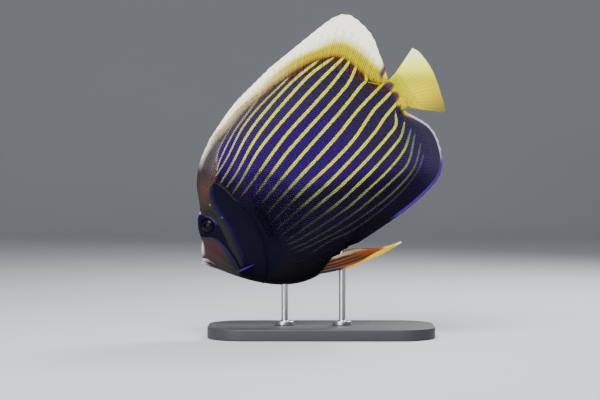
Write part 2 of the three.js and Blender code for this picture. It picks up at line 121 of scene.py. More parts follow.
class Run:
    """A smooth line through points in side view, followed by share of its length."""

    def __init__(self, points: Points, steps: int = 100, closed: bool = False) -> None:
        """Rounds the line through its points.

        Args:
            points: the points that the line passes through.
            steps: how many short straight pieces the line is made of.
            closed: whether the line comes back to its first point.
        """
        knots = np.array(points, float)
        count = len(knots) if closed else len(knots) - 1
        place = np.linspace(0, count, steps + 1)
        i = np.minimum(place.astype(int), count - 1)
        t = (place - i)[:, None]
        p = [self._knot(knots, i + k, closed) for k in (-1, 0, 1, 2)]
        lead, trail = (p[2] - p[0]) / 2, (p[3] - p[1]) / 2
        cubic = 2 * p[1] - 2 * p[2] + lead + trail
        square = -3 * p[1] + 3 * p[2] - 2 * lead - trail
        self.line = cubic * t**3 + square * t**2 + lead * t + p[1]
        length = np.linalg.norm(np.diff(self.line, axis=0), axis=1)
        self.share = np.concatenate([[0], np.cumsum(length)]) / length.sum()

    @staticmethod
    def _knot(knots: Array, i: Array, closed: bool) -> Array:
        """The knots at an index, wrapped round on a closed line and held on an open one."""
        return knots[i % len(knots)] if closed else knots[np.clip(i, 0, len(knots) - 1)]

    def point(self, share: Array | float) -> Array:
        """The points at shares of the line's length, as (x, z) rows."""
        share = np.clip(share, 0, 1)
        return np.stack([np.interp(share, self.share, self.line[:, k]) for k in (0, 1)], -1)

    def beside(self, x: Array, z: Array) -> tuple[Array, Array]:
        """How far points are to one side of the line.

        Args:
            x: stations of the points.
            z: heights of the points.

        Returns:
            The distance of each point, above zero to the left of the line and below zero to its
            right, and the line's share where it is nearest.
        """
        best = np.full(x.shape, 1e9)
        share, left = np.zeros(x.shape), np.zeros(x.shape)
        for k in range(len(self.line) - 1):
            (ax, az), (bx, bz) = self.line[k], self.line[k + 1]
            dx, dz = bx - ax, bz - az
            t = np.clip(((x - ax) * dx + (z - az) * dz) / max(dx * dx + dz * dz, 1e-9), 0, 1)
            gap = (x - ax - t * dx) ** 2 + (z - az - t * dz) ** 2
            closer = gap < best
            best = np.where(closer, gap, best)
            share = np.where(closer, self.share[k] + t * (self.share[k + 1] - self.share[k]), share)
            left = np.where(closer, dx * (z - az) - dz * (x - ax), left)
        return np.copysign(np.sqrt(best), left), share

    def near(self, x: Array, z: Array) -> tuple[Array, Array]:
        """The distance of points from the line, and the line's share where it is nearest."""
        gap, share = self.beside(x, z)
        return np.abs(gap), share

    def within(self, x: Array, z: Array) -> Array:
        """The distance to a closed line in millimetres.

        Args:
            x: stations of the points.
            z: heights of the points.

        Returns:
            The distance of each point, above zero inside the line and below zero outside.
        """
        inside = np.zeros(x.shape, bool)
        for (ax, az), (bx, bz) in zip(self.line[:-1], self.line[1:]):
            if az != bz:
                inside ^= ((az > z) != (bz > z)) & (x < (bx - ax) * (z - az) / (bz - az) + ax)
        gap, _ = self.near(x, z)
        return np.where(inside, gap, -gap)


def ease(value: Array | float, low: float, high: float) -> Array:
    """A smooth step from 0 at low to 1 at high."""
    t = np.clip((np.asarray(value, float) - low) / (high - low), 0, 1)
    return t * t * (3 - 2 * t)


def bump(distance: Array, width: float) -> Array:
    """A smooth hump of height 1 where distance is 0."""
    return np.exp(-((distance / width) ** 2))


def rounded(inset: Array | float, radius: float) -> Array:
    """A round edge's height, 0 at the edge and 1 from the radius inward."""
    return np.sqrt(1 - (1 - np.clip(inset / radius, 0, 1)) ** 2)


def left_of(run: Array) -> Array:
    """Directions in side view turned a quarter turn to the left."""
    return np.stack([-run[..., 1], run[..., 0]], -1)


BACK = Profile(
    (-2.5, -1.5), (0, 3.8), (4, 10.3), (8.5, 16.5), (12, 27), (17, 35.5), (25, 43), (38, 67.5),
    (46, 77), (57, 86.5), (70, 94), (100, 103.5), (140, 107.5), (180, 102.5), (200, 96),
    (218, 86), (233, 73), (244, 59), (251, 49), (258, 43), (264, 41.5),
)
BELLY = Profile(
    (-2.5, -6), (0, -11), (3, -15), (16, -34), (30, -51), (50, -69), (75, -81), (90, -83),
    (105, -80.5), (128, -77), (145, -73), (160, -67), (180, -57), (200, -44.5), (215, -33),
    (230, -19), (242, -5.5), (250, 3), (257, 7), (264, 7),
)
HALF_WIDTH = Profile(
    (-2.5, 3.5), (0, 5), (5, 8), (10, 11), (20, 16), (30, 19), (45, 22), (65, 24), (95, 25),
    (125, 24), (155, 21.5), (200, 16.2), (220, 12.8), (240, 9), (256, 6.3), (264, 5.4),
)
BACK_PINCH = Profile(
    (-2.5, 1), (20, 0.9), (45, 1.05), (80, 1.35), (130, 1.6), (220, 1.7), (264, 1.1)
)
BELLY_PINCH = Profile(
    (-2.5, 1), (60, 1), (95, 0.9), (130, 1.3), (170, 1.65), (230, 1.7), (264, 1.1)
)
GILL_OPENING = ((56, 60), (60, 48), (61, 35), (64, 5), (61, -18), (50, -42), (38, -56))
CHEEK_EDGE = (
    (50, 57), (45, 50), (41, 28), (40, 15), (38, 0), (35, -12), (31, -27), (31, -44),
)
MOUTH_LINE = ((-8, 1.5), (-2.5, -2.3), (0.5, -5.2), (3, -9.2), (5, -13.2), (9, -20.5))
LIP_LINE = MOUTH_LINE[1:5]


def trunk(x: Array | float) -> tuple[Array, Array]:
    """The height of the trunk's middle at stations, and half its depth."""
    return (BACK(x) + BELLY(x)) / 2, (BACK(x) - BELLY(x)) / 2


def half_width(x: Array | float, z: Array | float) -> Array:
    """Half the body's width at places in side view.

    Args:
        x: stations.
        z: heights.

    Returns:
        The half width at each place, 0 on the back's and the belly's lines.
    """
    middle, reach = trunk(x)
    height = np.clip((z - middle) / reach, -1, 1)
    pinch = np.where(height > 0, BACK_PINCH(x), BELLY_PINCH(x))
    return HALF_WIDTH(x) * (1 - height**2) ** (pinch / 2)


def on_skin(x: float, z: float, side: Side) -> tuple[Array, Array]:
    """A place on the body's side.

    Args:
        x: station.
        z: height.
        side: which side of the fish.

    Returns:
        The point and the unit direction out of the skin there.
    """
    step = 0.2
    slope_x = (half_width(x + step, z) - half_width(x - step, z)) / (2 * step)
    slope_z = (half_width(x, z + step) - half_width(x, z - step)) / (2 * step)
    out = np.array([-slope_x, side.value, -slope_z], float)
    point = np.array([x, side.value * half_width(x, z), z], float)
    return point, out / np.linalg.norm(out)


def posed(points: Array) -> Array:
    """Fish-frame millimetres turned nose down and placed in the row frame, in metres."""
    x, y, z = np.asarray(points, float).T
    turn, rise = math.cos(PITCH), math.sin(PITCH)
    placed = (MOUTH_X + x * turn - z * rise, y, MOUTH_Z + x * rise + z * turn)
    return np.stack(placed, -1) * MM


def unit(vectors: Array) -> Array:
    """Vectors made one long."""
    return vectors / np.maximum(np.linalg.norm(vectors, axis=-1, keepdims=True), 1e-9)


# Meshes


@dataclass
class Shape:
    """Points and faces of one piece, with the values that its paint reads."""

    points: Array
    faces: Array
    corner_map: Array | None = None
    values: Values | None = None

    def welded(self, grain: float = 0.002) -> "Shape":
        """The same shape with points that share a place made one.

        Args:
            grain: points closer than this count as one.

        Returns:
            A new shape. A corner that repeats the next one stays in its face.
        """
        keys = np.round(self.points / grain).astype(np.int64)
        _, first, same = np.unique(keys, axis=0, return_index=True, return_inverse=True)
        same = same.reshape(-1)
        values = {name: value[first] for name, value in (self.values or {}).items()}
        return Shape(self.points[first], same[self.faces], self.corner_map, values)

    def object(self, name: str) -> bpy.types.Object:
        """Makes a Blender object of the shape, with smooth faces.

        Args:
            name: the piece's name.

        Returns:
            The new object, linked to the scene.
        """
        mesh = bpy.data.meshes.new(name)
        differs = self.faces != np.roll(self.faces, -1, axis=1)
        whole = differs.sum(1) >= 3
        whole &= (self.faces[:, 0] != self.faces[:, 2]) & (self.faces[:, 1] != self.faces[:, 3])
        kept = differs & whole[:, None]
        counts = kept.sum(1)[whole]
        mesh.vertices.add(len(self.points))
        mesh.vertices.foreach_set("co", self.points.astype(np.float32).ravel())
        mesh.loops.add(int(counts.sum()))
        mesh.loops.foreach_set("vertex_index", self.faces[kept].astype(np.int32))
        mesh.polygons.add(len(counts))
        starts = np.concatenate([[0], np.cumsum(counts)[:-1]]).astype(np.int32)
        mesh.polygons.foreach_set("loop_start", starts)
        mesh.polygons.foreach_set("use_smooth", np.full(len(counts), True))
        if self.corner_map is not None:
            layer = mesh.uv_layers.new(name="OFBake")
            layer.data.foreach_set("uv", self.corner_map[kept].astype(np.float32).ravel())
        for key, value in (self.values or {}).items():
            layer = mesh.attributes.new(key, "FLOAT", "POINT")
            layer.data.foreach_set("value", value.astype(np.float32))
        mesh.update(calc_edges=True)
        mesh.validate()
        made = bpy.data.objects.new(name, mesh)
        bpy.context.scene.collection.objects.link(made)
        return made


def grid_faces(columns: int, rows: int, start: int = 0, flip: bool = False) -> Array:
    """Four-cornered faces of a grid of points.

    Args:
        columns: points along the first way.
        rows: points along the second way.
        start: the number of the grid's first point.
        flip: turns the faces round.

    Returns:
        One row of four point numbers for each face.
    """
    c, r = np.meshgrid(np.arange(columns - 1), np.arange(rows - 1), indexing="ij")
    corner = (start + c * rows + r).ravel()
    quads = np.stack([corner, corner + rows, corner + rows + 1, corner + 1], -1)
    return quads[:, ::-1] if flip else quads


def finish_piece(
    made: bpy.types.Object, material: bpy.types.Material, slot: str, *nodes: str
) -> None:
    """Dresses a piece and ties it to the frame.

    Args:
        made: the piece.
        material: its finish.
        slot: the name of a material slot; not used.
        nodes: the solids that it stands for.
    """
    made.data.materials.append(material)
    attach(made, "root")
    if nodes:
        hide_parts(*nodes)
    log.info("%s: %d faces", made.name, len(made.data.polygons))


def fish_piece(
    shape: Shape, name: str, material: bpy.types.Material, slot: str, *nodes: str
) -> None:
    """Welds a shape, places it in the row frame and finishes it.

    Args:
        shape: the piece in the fish's frame.
        name: the piece's name.
        material: its finish.
        slot: the name of a material slot, handed on to finish_piece.
        nodes: the solids that it stands for.
    """
    whole = shape.welded()
    whole.points = posed(whole.points)
    finish_piece(whole.object(name), material, slot, *nodes)


# Paint


def paint(red: float, green: float, blue: float) -> Colour:
    """A colour given as it shows on a screen, 0 to 255, as Blender's linear values."""
    linear = [
        part / 12.92 if part <= 0.04045 else ((part + 0.055) / 1.055) ** 2.4
        for part in (red / 255, green / 255, blue / 255)
    ]
    return (*linear, 1.0)


class Wire:
    """A number that flows between a material's nodes, with Python's arithmetic."""

    def __init__(self, nodes: "Nodes", socket: bpy.types.NodeSocket) -> None:
        """Keeps the socket and the material that it belongs to."""
        self.nodes = nodes
        self.socket = socket

    def __add__(self, other: "Wire | float") -> "Wire":
        """The sum."""
        return self.nodes.maths("ADD", self, other)

    def __sub__(self, other: "Wire | float") -> "Wire":
        """The difference."""
        return self.nodes.maths("SUBTRACT", self, other)

    def __rsub__(self, other: float) -> "Wire":
        """The difference, the other way round."""
        return self.nodes.maths("SUBTRACT", other, self)

    def __mul__(self, other: "Wire | float") -> "Wire":
        """The product."""
        return self.nodes.maths("MULTIPLY", self, other)

    __radd__ = __add__
    __rmul__ = __mul__


class Nodes:
    """The node tree of one material in the making."""

    def __init__(self, name: str) -> None:
        """Starts an empty material.

        Args:
            name: the material's name.
        """
        self.material = bpy.data.materials.new(name)
        self.material.use_nodes = True
        self.tree = self.material.node_tree
        self.tree.nodes.clear()

    def make(self, kind: str, settings: dict[str, Any], sockets: dict[Any, Any]) -> bpy.types.Node:
        """Adds a node.

        Args:
            kind: the node's type.
            settings: its properties, set first.
            sockets: values or links by input name or number.

        Returns:
            The new node.
        """
        made = self.tree.nodes.new(kind)
        for name, value in settings.items():
            setattr(made, name, value)
        for key, value in sockets.items():
            target = made.inputs[key]
            value = value.socket if isinstance(value, Wire) else value
            if isinstance(value, bpy.types.NodeSocket):
                self.tree.links.new(value, target)
            else:
                target.default_value = value
        return made

    def maths(self, operation: str, a: Wire | float, b: Wire | float) -> Wire:
        """A Math node of two numbers."""
        made = self.make("ShaderNodeMath", {"operation": operation}, {0: a, 1: b})
        return Wire(self, made.outputs[0])

    def value(self, name: str) -> Wire:
        """A value that the mesh carries."""
        made = self.make("ShaderNodeAttribute", {"attribute_name": name}, {})
        return Wire(self, made.outputs["Fac"])

    def step(self, value: Wire, low: float, high: float) -> Wire:
        """A smooth step from 0 at low to 1 at high."""
        made = self.make(
            "ShaderNodeMapRange", {"interpolation_type": "SMOOTHSTEP"}, {0: value, 1: low, 2: high}
        )
        return Wire(self, made.outputs[0])

    def noise(
        self, scale: float, detail: float = 2.0, stretch: tuple[float, ...] = (1, 1, 1)
    ) -> Wire:
        """Soft mottling between 0 and 1.

        Args:
            scale: blotches per metre.
            detail: how much finer mottling is laid over it.
            stretch: how much finer it is along each axis.

        Returns:
            The mottling as a number.
        """
        place = self.make("ShaderNodeTexCoord", {}, {}).outputs["Object"]
        sized = self.make("ShaderNodeMapping", {}, {"Vector": place, "Scale": stretch})
        made = self.make(
            "ShaderNodeTexNoise", {}, {"Vector": sized.outputs[0], "Scale": scale, "Detail": detail}
        )
        return Wire(self, made.outputs["Fac"])

    def patch(self, along: Wire, up: Wire, centre: tuple[float, float], radius: float) -> Wire:
        """A soft round patch in side view.

        Args:
            along: station of the shaded point.
            up: height of the shaded point.
            centre: the patch's middle.
            radius: how far it reaches.

        Returns:
            1 in the middle of the patch and 0 outside it.
        """
        dx, dz = along - centre[0], up - centre[1]
        return 1 - self.step(dx * dx + dz * dz, 0.0, radius * radius)

    def mix(
        self, share: Wire | float, under: Any, over: Any, way: str = "MIX"
    ) -> bpy.types.NodeSocket:
        """Lays one colour over another.

        Args:
            share: how much of the upper colour shows.
            under: the lower colour.
            over: the upper colour.
            way: how the two blend.

        Returns:
            The mixed colour's socket.
        """
        settings = {"data_type": "RGBA", "blend_type": way, "clamp_factor": True}
        return self.make("ShaderNodeMix", settings, {0: share, 6: under, 7: over}).outputs[2]

    def laid(self, colour: Any, *layers: tuple[Wire, Any], way: str = "MIX") -> Any:
        """Lays colours over one another.

        Args:
            colour: the lowest colour.
            layers: how much of each colour shows, and the colour, from the lowest up.
            way: how they blend.

        Returns:
            The last colour's socket.
        """
        for share, over in layers:
            colour = self.mix(share, colour, over, way)
        return colour

    def raised(self, height: Wire, strength: float, depth: float) -> bpy.types.NodeSocket:
        """A bumped normal.

        Args:
            height: the relief, 0 to 1.
            strength: how strongly it shows.
            depth: the relief's real depth in metres.

        Returns:
            The normal's socket.
        """
        sockets = {"Strength": strength, "Distance": depth, "Height": height}
        return self.make("ShaderNodeBump", {}, sockets).outputs[0]

    def surface(self, **sockets: Any) -> bpy.types.Material:
        """Ends the material with one principled surface.

        Args:
            sockets: its inputs, with underscores for spaces.

        Returns:
            The finished material.
        """
        named = {name.replace("_", " "): value for name, value in sockets.items()}
        shader = self.make("ShaderNodeBsdfPrincipled", {}, named)
        self.make("ShaderNodeOutputMaterial", {}, {"Surface": shader.outputs[0]})
        return self.material


# Markings


@dataclass(frozen=True)
class Stripe:
    """A yellow band along the flank: its line, half its width, how dull it is and how white."""

    line: Points
    half: float
    dull: float = 0.0
    white: float = 0.0


STRIPES = (
    Stripe(
        ((69, 75.5), (76, 82.3), (86, 88.2), (95, 92.4), (105, 96.9), (120, 102)),
        0.9, white=1.0,
    ),
    Stripe(
        ((64, 67), (70, 72.1), (81, 78.9), (95.5, 86.8), (109, 92.6), (141, 103.2)),
        1.0, white=0.85,
    ),
    Stripe(((60, 63), (80, 71.5), (110, 87.5), (140, 96.5), (179, 103)), 1.0, white=0.5),
    Stripe(
        ((60, 54.2), (80, 63), (110, 78.6), (140, 88.6), (180, 97.6), (215, 100)),
        1.3, white=0.15,
    ),
    Stripe(
        ((62, 47), (80, 53.5), (110, 68.5), (140, 79), (180, 89), (204, 93.3), (230, 93.5)),
        1.4,
    ),
    Stripe(((63, 38), (80, 44.5), (110, 58.5), (140, 67.5), (180, 77), (210, 83), (242, 88)), 1.45),
    Stripe(((71, 31), (90, 37.3), (140, 54.7), (180, 64), (210, 71), (230, 77), (245, 82)), 1.5),
    Stripe(((84, 24), (120, 36), (140, 42), (180, 51.2), (210, 58), (230, 64), (248, 75)), 1.5),
    Stripe(((84, 13), (140, 28.3), (200, 42.5), (235, 52.5), (244, 54.5), (249, 63)), 1.5),
    Stripe(((244, 53), (248, 48.5), (253, 43)), 0.5, 0.3),
    Stripe(
        ((78, 0), (100, 5.5), (130, 12.3), (160, 18.6), (190, 25.7), (220, 34.5), (258, 42)),
        1.5,
    ),
    Stripe(
        ((80, -9.5), (130, -0.2), (170, 5.8), (200, 12.5), (230, 24), (245, 27.3), (262, 30.5)),
        1.5,
    ),
    Stripe(
        ((80, -18), (110, -14.5), (150, -9.8), (190, -2.2), (220, 5.3), (240, 12.7), (262, 18)),
        1.45,
    ),
    Stripe(
        ((80, -26.3), (120, -23.3), (160, -19.7), (200, -12.8), (230, -5.7), (243, -1), (249, 8)),
        1.4, 0.05,
    ),
    Stripe(
        ((83, -34), (140, -33.2), (170, -29.8), (200, -25), (230, -17.7), (242, -13), (252, -4)),
        1.3, 0.15,
    ),
    Stripe(
        ((75, -36.6), (100, -41), (150, -42.4), (180, -39.3), (210, -35), (236, -27), (253, -14)),
        1.2, 0.3,
    ),
    Stripe(
        (
            (76, -42.5), (100, -47.5), (140, -51.2), (170, -50.5), (210, -45.8), (232, -40),
            (254, -20),
        ),
        1.05, 0.55,
    ),
    Stripe(
        ((80, -49), (110, -54), (140, -58), (170, -59), (200, -57), (232, -49), (253, -32)),
        0.95, 0.78,
    ),
    Stripe(
        ((95, -59), (120, -60.5), (145, -65), (180, -64.7), (210, -61), (235, -53), (250, -42)),
        0.75, 0.95,
    ),
)
MASK = (
    (10, 23), (10.5, 28), (15, 33), (20, 38), (24.5, 41), (27, 36.5), (29.5, 30.5), (32, 24),
    (32.5, 16), (31.5, 7), (29.8, -2), (28.8, -12), (28, -22), (26.5, -29), (24.5, -29),
    (25.3, -19), (25.6, -8), (25, 1), (23.5, 8), (20, 13), (15, 16.5), (11, 20),
)
SNOUT_PATCH = (
    (-12, 25), (8, 21.5), (15, 16.5), (20, 13), (23.5, 8), (25, 1), (25.6, -8), (25.3, -19),
    (24.5, -29), (20, -36), (14, -45), (-12, -45),
)
MASK_REAR_RIM = ((21, 44), (25, 39), (28.8, 33), (31, 27.5), (32.8, 21))
MASK_FRONT_RIM = ((20, 12), (23, 7), (24, 0), (23.8, -9), (23, -19), (22, -28))
CROWN = (
    (24.5, 41), (27, 37), (30, 31), (32.5, 24), (33.3, 16), (31, 5), (29, -5), (27.5, -15),
    (26, -28), (30, -28), (33, -15), (35.5, -3), (37.5, 8), (38.5, 18), (39, 28), (40.5, 38),
    (44, 48), (50, 55), (57.5, 59.5), (65, 67), (71, 75), (77, 82.5), (87, 88.5), (101, 92.5),
    (113, 97), (130, 101), (150, 106), (170, 112), (170, 150), (0, 150), (10, 60),
)
CHEEK_BAND = (
    (49.5, 57), (44.5, 50), (41.5, 41), (40.3, 30), (39.7, 20), (38.5, 8), (36.5, -3), (34.6, -13),
    (31.5, -27),
)
CHEEK_BAND_REAR = (
    (52, 57), (47.5, 51), (44, 42), (42.8, 30), (42, 18), (40.7, 5), (38.8, -4), (36.6, -14),
    (34, -26),
)
SHOULDER = (
    (51, 57), (55, 57), (58, 53), (60, 45), (61.5, 38), (62.5, 31), (65, 25), (72, 18), (77, 8),
    (78, -5), (77, -20), (75, -32), (68, -42), (55, -50), (40, -52), (33, -42), (33, -27),
    (36, -14), (39, -2), (41, 10), (42.3, 25), (43.5, 38), (46, 48),
)
SHOULDER_EDGE = ((54.5, 57.5), (58, 53), (60, 45), (61.5, 38), (62.3, 32), (65, 26.5))
YELLOW_BACK = (
    (58, 89), (72, 93.5), (84, 98), (100, 101), (120, 106), (150, 108), (172, 108.6),
    (192, 108.2), (208, 106), (221, 102), (232, 97), (240, 89.5), (244, 80), (246.5, 70),
    (248.5, 60), (251, 52), (254, 46), (257, 43.5), (262, 42.2), (275, 44), (300, 90), (290, 140),
    (58, 140),
)
YELLOW_TAIL = (
    (257, 44), (261, 42), (264.5, 38.5), (265.5, 35), (263, 32), (260, 30.5), (262.5, 28),
    (264.3, 25), (263, 21), (258.5, 18.2), (256.5, 15.5), (259, 12.5), (257.5, 7), (262, -4),
    (300, -40), (330, 20), (310, 70), (270, 52),
)
ANAL_MARGIN = (
    (142, -79.3), (160, -80), (200, -80.3), (230, -77), (250, -71), (262, -59), (270.5, -38),
    (271, -22), (266, -9), (259.5, 4),
)


AREAS = {
    "mask": (MASK, 88), "snout": (SNOUT_PATCH, 60), "crown": (CROWN, 110),
    "shoulder": (SHOULDER, 90), "yellow_back": (YELLOW_BACK, 80), "yellow_tail": (YELLOW_TAIL, 80),
}
BANDS = {
    "mask_rear": (MASK_REAR_RIM, 1.25), "mask_front": (MASK_FRONT_RIM, 1.4),
    "cheek": (CHEEK_BAND, 1.9), "cheek_rear": (CHEEK_BAND_REAR, 1.2),
    "shoulder_edge": (SHOULDER_EDGE, 0.7),
}


@dataclass(frozen=True)
class Markings:
    """The fish's colour pattern as distances in millimetres, the same on skin and scales."""

    def values(self, points: Array, together: int = 1) -> Values:
        """The pattern at points in the fish's frame.

        Args:
            points: rows of x, y, z.
            together: how many points in a row belong to one scale and so to one stripe.

        Returns:
            A distance or share for each part of the pattern, by name.
        """
        x, z = points[:, 0], points[:, 2]
        parts = {"along": x, "up": z, "side": np.abs(points[:, 1]), "ridge": BACK(x) - z}
        stripe = self._stripes(x, z, together)
        parts.update(zip(("stripe", "stripe_half", "dull", "white"), stripe))
        for name, (line, steps) in AREAS.items():
            parts[name] = Run(line, steps, closed=True).within(x, z)
        for name, (line, half) in BANDS.items():
            parts[name] = self._band(x, z, line, half)
        parts["anal_edge"], _ = Run(ANAL_MARGIN, 60).near(x, z)
        return parts

    @staticmethod
    def _band(x: Array, z: Array, line: Points, half: float) -> Array:
        """How far points are inside a band that tapers to its ends, half as wide as given."""
        gap, share = Run(line, 40).near(x, z)
        return half * (0.3 + 0.7 * ease(share, 0, 0.12) * ease(1 - share, 0, 0.12)) - gap

    @staticmethod
    def _stripes(x: Array, z: Array, together: int) -> tuple[Array, Array, Array, Array]:
        """The nearest stripe.

        Args:
            x: stations of the points.
            z: heights of the points.
            together: how many points in a row share a stripe.

        Returns:
            The distance of each point from the stripe's middle, which keeps its sign where points
            share a stripe, and half the stripe's width, its dullness and its whiteness there.
        """
        best = np.full(len(x) // together, -1e3)
        found = np.zeros((4, len(x)))
        for stripe in STRIPES:
            gap, share = Run(stripe.line, 36).beside(x, z)
            taper = ease(share, -0.06, 0.05) * ease(1 - share, -0.05, 0.05)
            half = stripe.half * (0.72 + 0.28 * ease(x, 80, 130)) * taper
            inside = (half - np.abs(gap)).reshape(-1, together).mean(1)
            here = np.stack([gap, half, stripe.dull + 0 * x, stripe.white + 0 * x])
            found = np.where(np.repeat(inside > best, together), here, found)
            best = np.maximum(best, inside)
        if together == 1:
            found[0] = np.abs(found[0])
        return tuple(found)


@dataclass(frozen=True)
class FishPaint:
    """The finish of the fish's skin and scales, laid over in layers from the ground up."""

    name: str
    black: Colour = paint(6, 5, 9)
    navy: Colour = paint(9, 9, 28)
    deep_indigo: Colour = paint(15, 8, 35)
    indigo: Colour = paint(40, 15, 86)
    violet: Colour = paint(50, 42, 73)
    dusk: Colour = paint(40, 34, 57)
    maroon: Colour = paint(62, 37, 45)
    stripe_shaded_dull: Colour = paint(40, 42, 32)
    stripe_mid: Colour = paint(118, 120, 66)
    stripe_lit_yellow: Colour = paint(210, 208, 4)
    stripe_white: Colour = paint(152, 138, 126)
    stripe_tip: Colour = paint(92, 100, 104)
    brown: Colour = paint(58, 36, 32)
    mauve: Colour = paint(66, 58, 62)
    amber: Colour = paint(164, 146, 110)
    orange: Colour = paint(150, 118, 2)
    yellow: Colour = paint(170, 155, 1)
    straw: Colour = paint(226, 212, 158)
    pale_yellow: Colour = paint(216, 208, 8)
    backlight_cream: Colour = paint(255, 253, 226)
    nape: Colour = paint(50, 41, 46)
    nape_grey_and_highlight: Colour = paint(100, 93, 97)
    forehead: Colour = paint(70, 51, 44)
    olive: Colour = paint(35, 38, 31)
    snout: Colour = paint(57, 46, 49)
    rosy: Colour = paint(64, 41, 42)
    chin: Colour = paint(50, 50, 45)
    throat: Colour = paint(22, 20, 18)
    pore: Colour = paint(92, 90, 84)
    pale_lip_and_highlight: Colour = paint(206, 202, 212)
    shoulder_line: Colour = paint(43, 44, 38)
    cheek_blue: Colour = paint(29, 26, 50)
    cheek_edge: Colour = paint(19, 10, 56)
    rim_blue: Colour = paint(42, 35, 70)
    rim_violet: Colour = paint(38, 29, 69)
    fin_blue: Colour = paint(58, 32, 122)
    fin_white: Colour = paint(176, 176, 188)
    fin_grey: Colour = paint(38, 38, 53)
    tail_low: Colour = paint(214, 196, 1)
    tail_mid: Colour = paint(186, 182, 1)
    tail_backlit_pale: Colour = paint(246, 244, 70)
    lobe: Colour = paint(66, 54, 68)

    def material(self) -> bpy.types.Material:
        """Builds the finish.

        Returns:
            The material, which reads the values that Markings gives.
        """
        n = Nodes(self.name)
        along, up = n.value("along"), n.value("up")
        wobble = (n.noise(260, 3.0) - 0.5) * 1.1
        mottle = n.noise(55, 4.0)
        colour = self._ground(n, along, up, mottle)
        for part in (self._back, self._stripes, self._head, self._fins):
            colour = part(n, colour, along, up, wobble)
        grain = n.noise(900, 2.0)
        tone = n.value("tone") + (grain - 0.5) * 0.3 + (mottle - 0.5) * 0.35
        colour = n.laid(
            colour,
            (n.step(tone, 0.0, 0.6) * 0.32, paint(255, 255, 255)),
            (n.step(tone * -1.0, 0.0, 0.6) * 0.45, paint(0, 0, 0)),
            way="SOFT_LIGHT",
        )
        rough = 0.42 + 0.14 * mottle + 0.1 * grain + 0.1 * n.value("fin")
        bumps = grain * 0.6 + n.noise(2600, 2.0) * 0.4
        return n.surface(
            Base_Color=colour,
            Roughness=rough,
            Normal=n.raised(bumps, 0.35, 0.00012),
            Coat_Weight=0.03,
            Coat_Roughness=0.25,
            Specular_IOR_Level=0.04,
        )

    def _ground(self, n: Nodes, along: Wire, up: Wire, mottle: Wire) -> Any:
        """The indigo ground, brightest on the mid flank and near black low and in front.

        Args:
            n: the material's nodes.
            along: station of the shaded point.
            up: its height.
            mottle: soft blotches that blur the ground's edges.

        Returns:
            The ground's colour.
        """
        cloud = (mottle - 0.5) * 9.0
        rise = n.step(up + along * 0.45 + cloud, 38, 80) * n.step(along + up * 0.3 + cloud, 70, 114)
        throat = (1 - n.step(along + up * -0.15, 45, 110)) * (1 - n.step(up, -52, -32))
        return n.laid(
            self.black,
            (n.step(up + along * 0.1, -70, -30), self.deep_indigo),
            (n.step(rise, 0.0, 0.9), self.indigo),
            (n.step(up, 52, 92) * n.step(along, 86, 112) * 0.9, self.violet),
            (n.step(along + up * 0.15, 172, 226) * rise * 0.85, self.dusk),
            (throat * 0.85, self.throat),
        )

    def _back(self, n: Nodes, under: Any, along: Wire, up: Wire, wobble: Wire) -> Any:
        """The grey nape, brown forehead, olive band behind the eye and yellow back fin, with
        painted light.

        Args:
            n: the material's nodes.
            under: the colour below.
            along: station of the shaded point.
            up: its height.
            wobble: small waves for the edges of the colours.

        Returns:
            The colour with this layer.
        """
        # The nape pales toward grey behind the eye: partly its own grey, partly a painted highlight
        # of light from above.
        nape = n.mix(n.step(along, 50, 76), self.nape, self.nape_grey_and_highlight)
        forehead = n.mix(n.step(up, 56, 74), self.forehead, nape)
        lower = n.mix(n.step(up, 34, 60), self.olive, forehead)
        crown, rearward = n.value("crown") + wobble, n.step(along, 48, 62)
        crowned = n.step(crown, -0.6, 0.6) * (1 - rearward) + n.step(crown, -2.0, 3.0) * rearward
        edge, rear = n.value("yellow_back") + wobble * 1.4, n.step(along, 95, 214)
        reach = edge * (1.2 + 4 * (1 - rear) * (1 - rear)) * (1 - 0.45 * n.step(along, 212, 246))
        tight, begin = edge * (1 + 0.8 * rear), n.step(along, 68, 92)
        # Painted rim light: cream along the back's ridge over the nape, where light from above
        # catches the edge.
        painted_backlight = (1 - n.step(n.value("ridge"), -2.5, 7.5)) * n.step(along, 46, 64)
        return n.laid(
            under,
            (crowned * (1 - n.step(along, 84, 104)), lower),
            (n.step(edge, -16.0, -6.0) * 0.92, n.mix(rear, self.mauve, self.brown)),
            (n.step(tight, -7.5, -1.0) * begin, n.mix(rear, self.amber, self.orange)),
            (n.step(tight, -1.5, 3.0) * begin, n.mix(rear, self.straw, self.yellow)),
            # The fin pales toward its margin and its front, to cream at the edge: painted backlight
            # over its yellow, as through a thin fin lit from behind.
            (n.step(reach, 4.5, 10.0) * begin, n.mix(rear, self.straw, self.pale_yellow)),
            (n.step(reach, 6.5, 13.5) * begin, self.backlight_cream),
            (painted_backlight * (1 - n.step(along, 70, 88)), self.backlight_cream),
        )

    def _stripes(self, n: Nodes, under: Any, along: Wire, up: Wire, wobble: Wire) -> Any:
        """The yellow stripes, dull low down and in front with painted shade, whitish on the upper
        flank.

        Args:
            n: the material's nodes.
            under: the colour below.
            along: station of the shaded point.
            up: its height.
            wobble: small waves for the edges of the colours.

        Returns:
            The colour with this layer.
        """
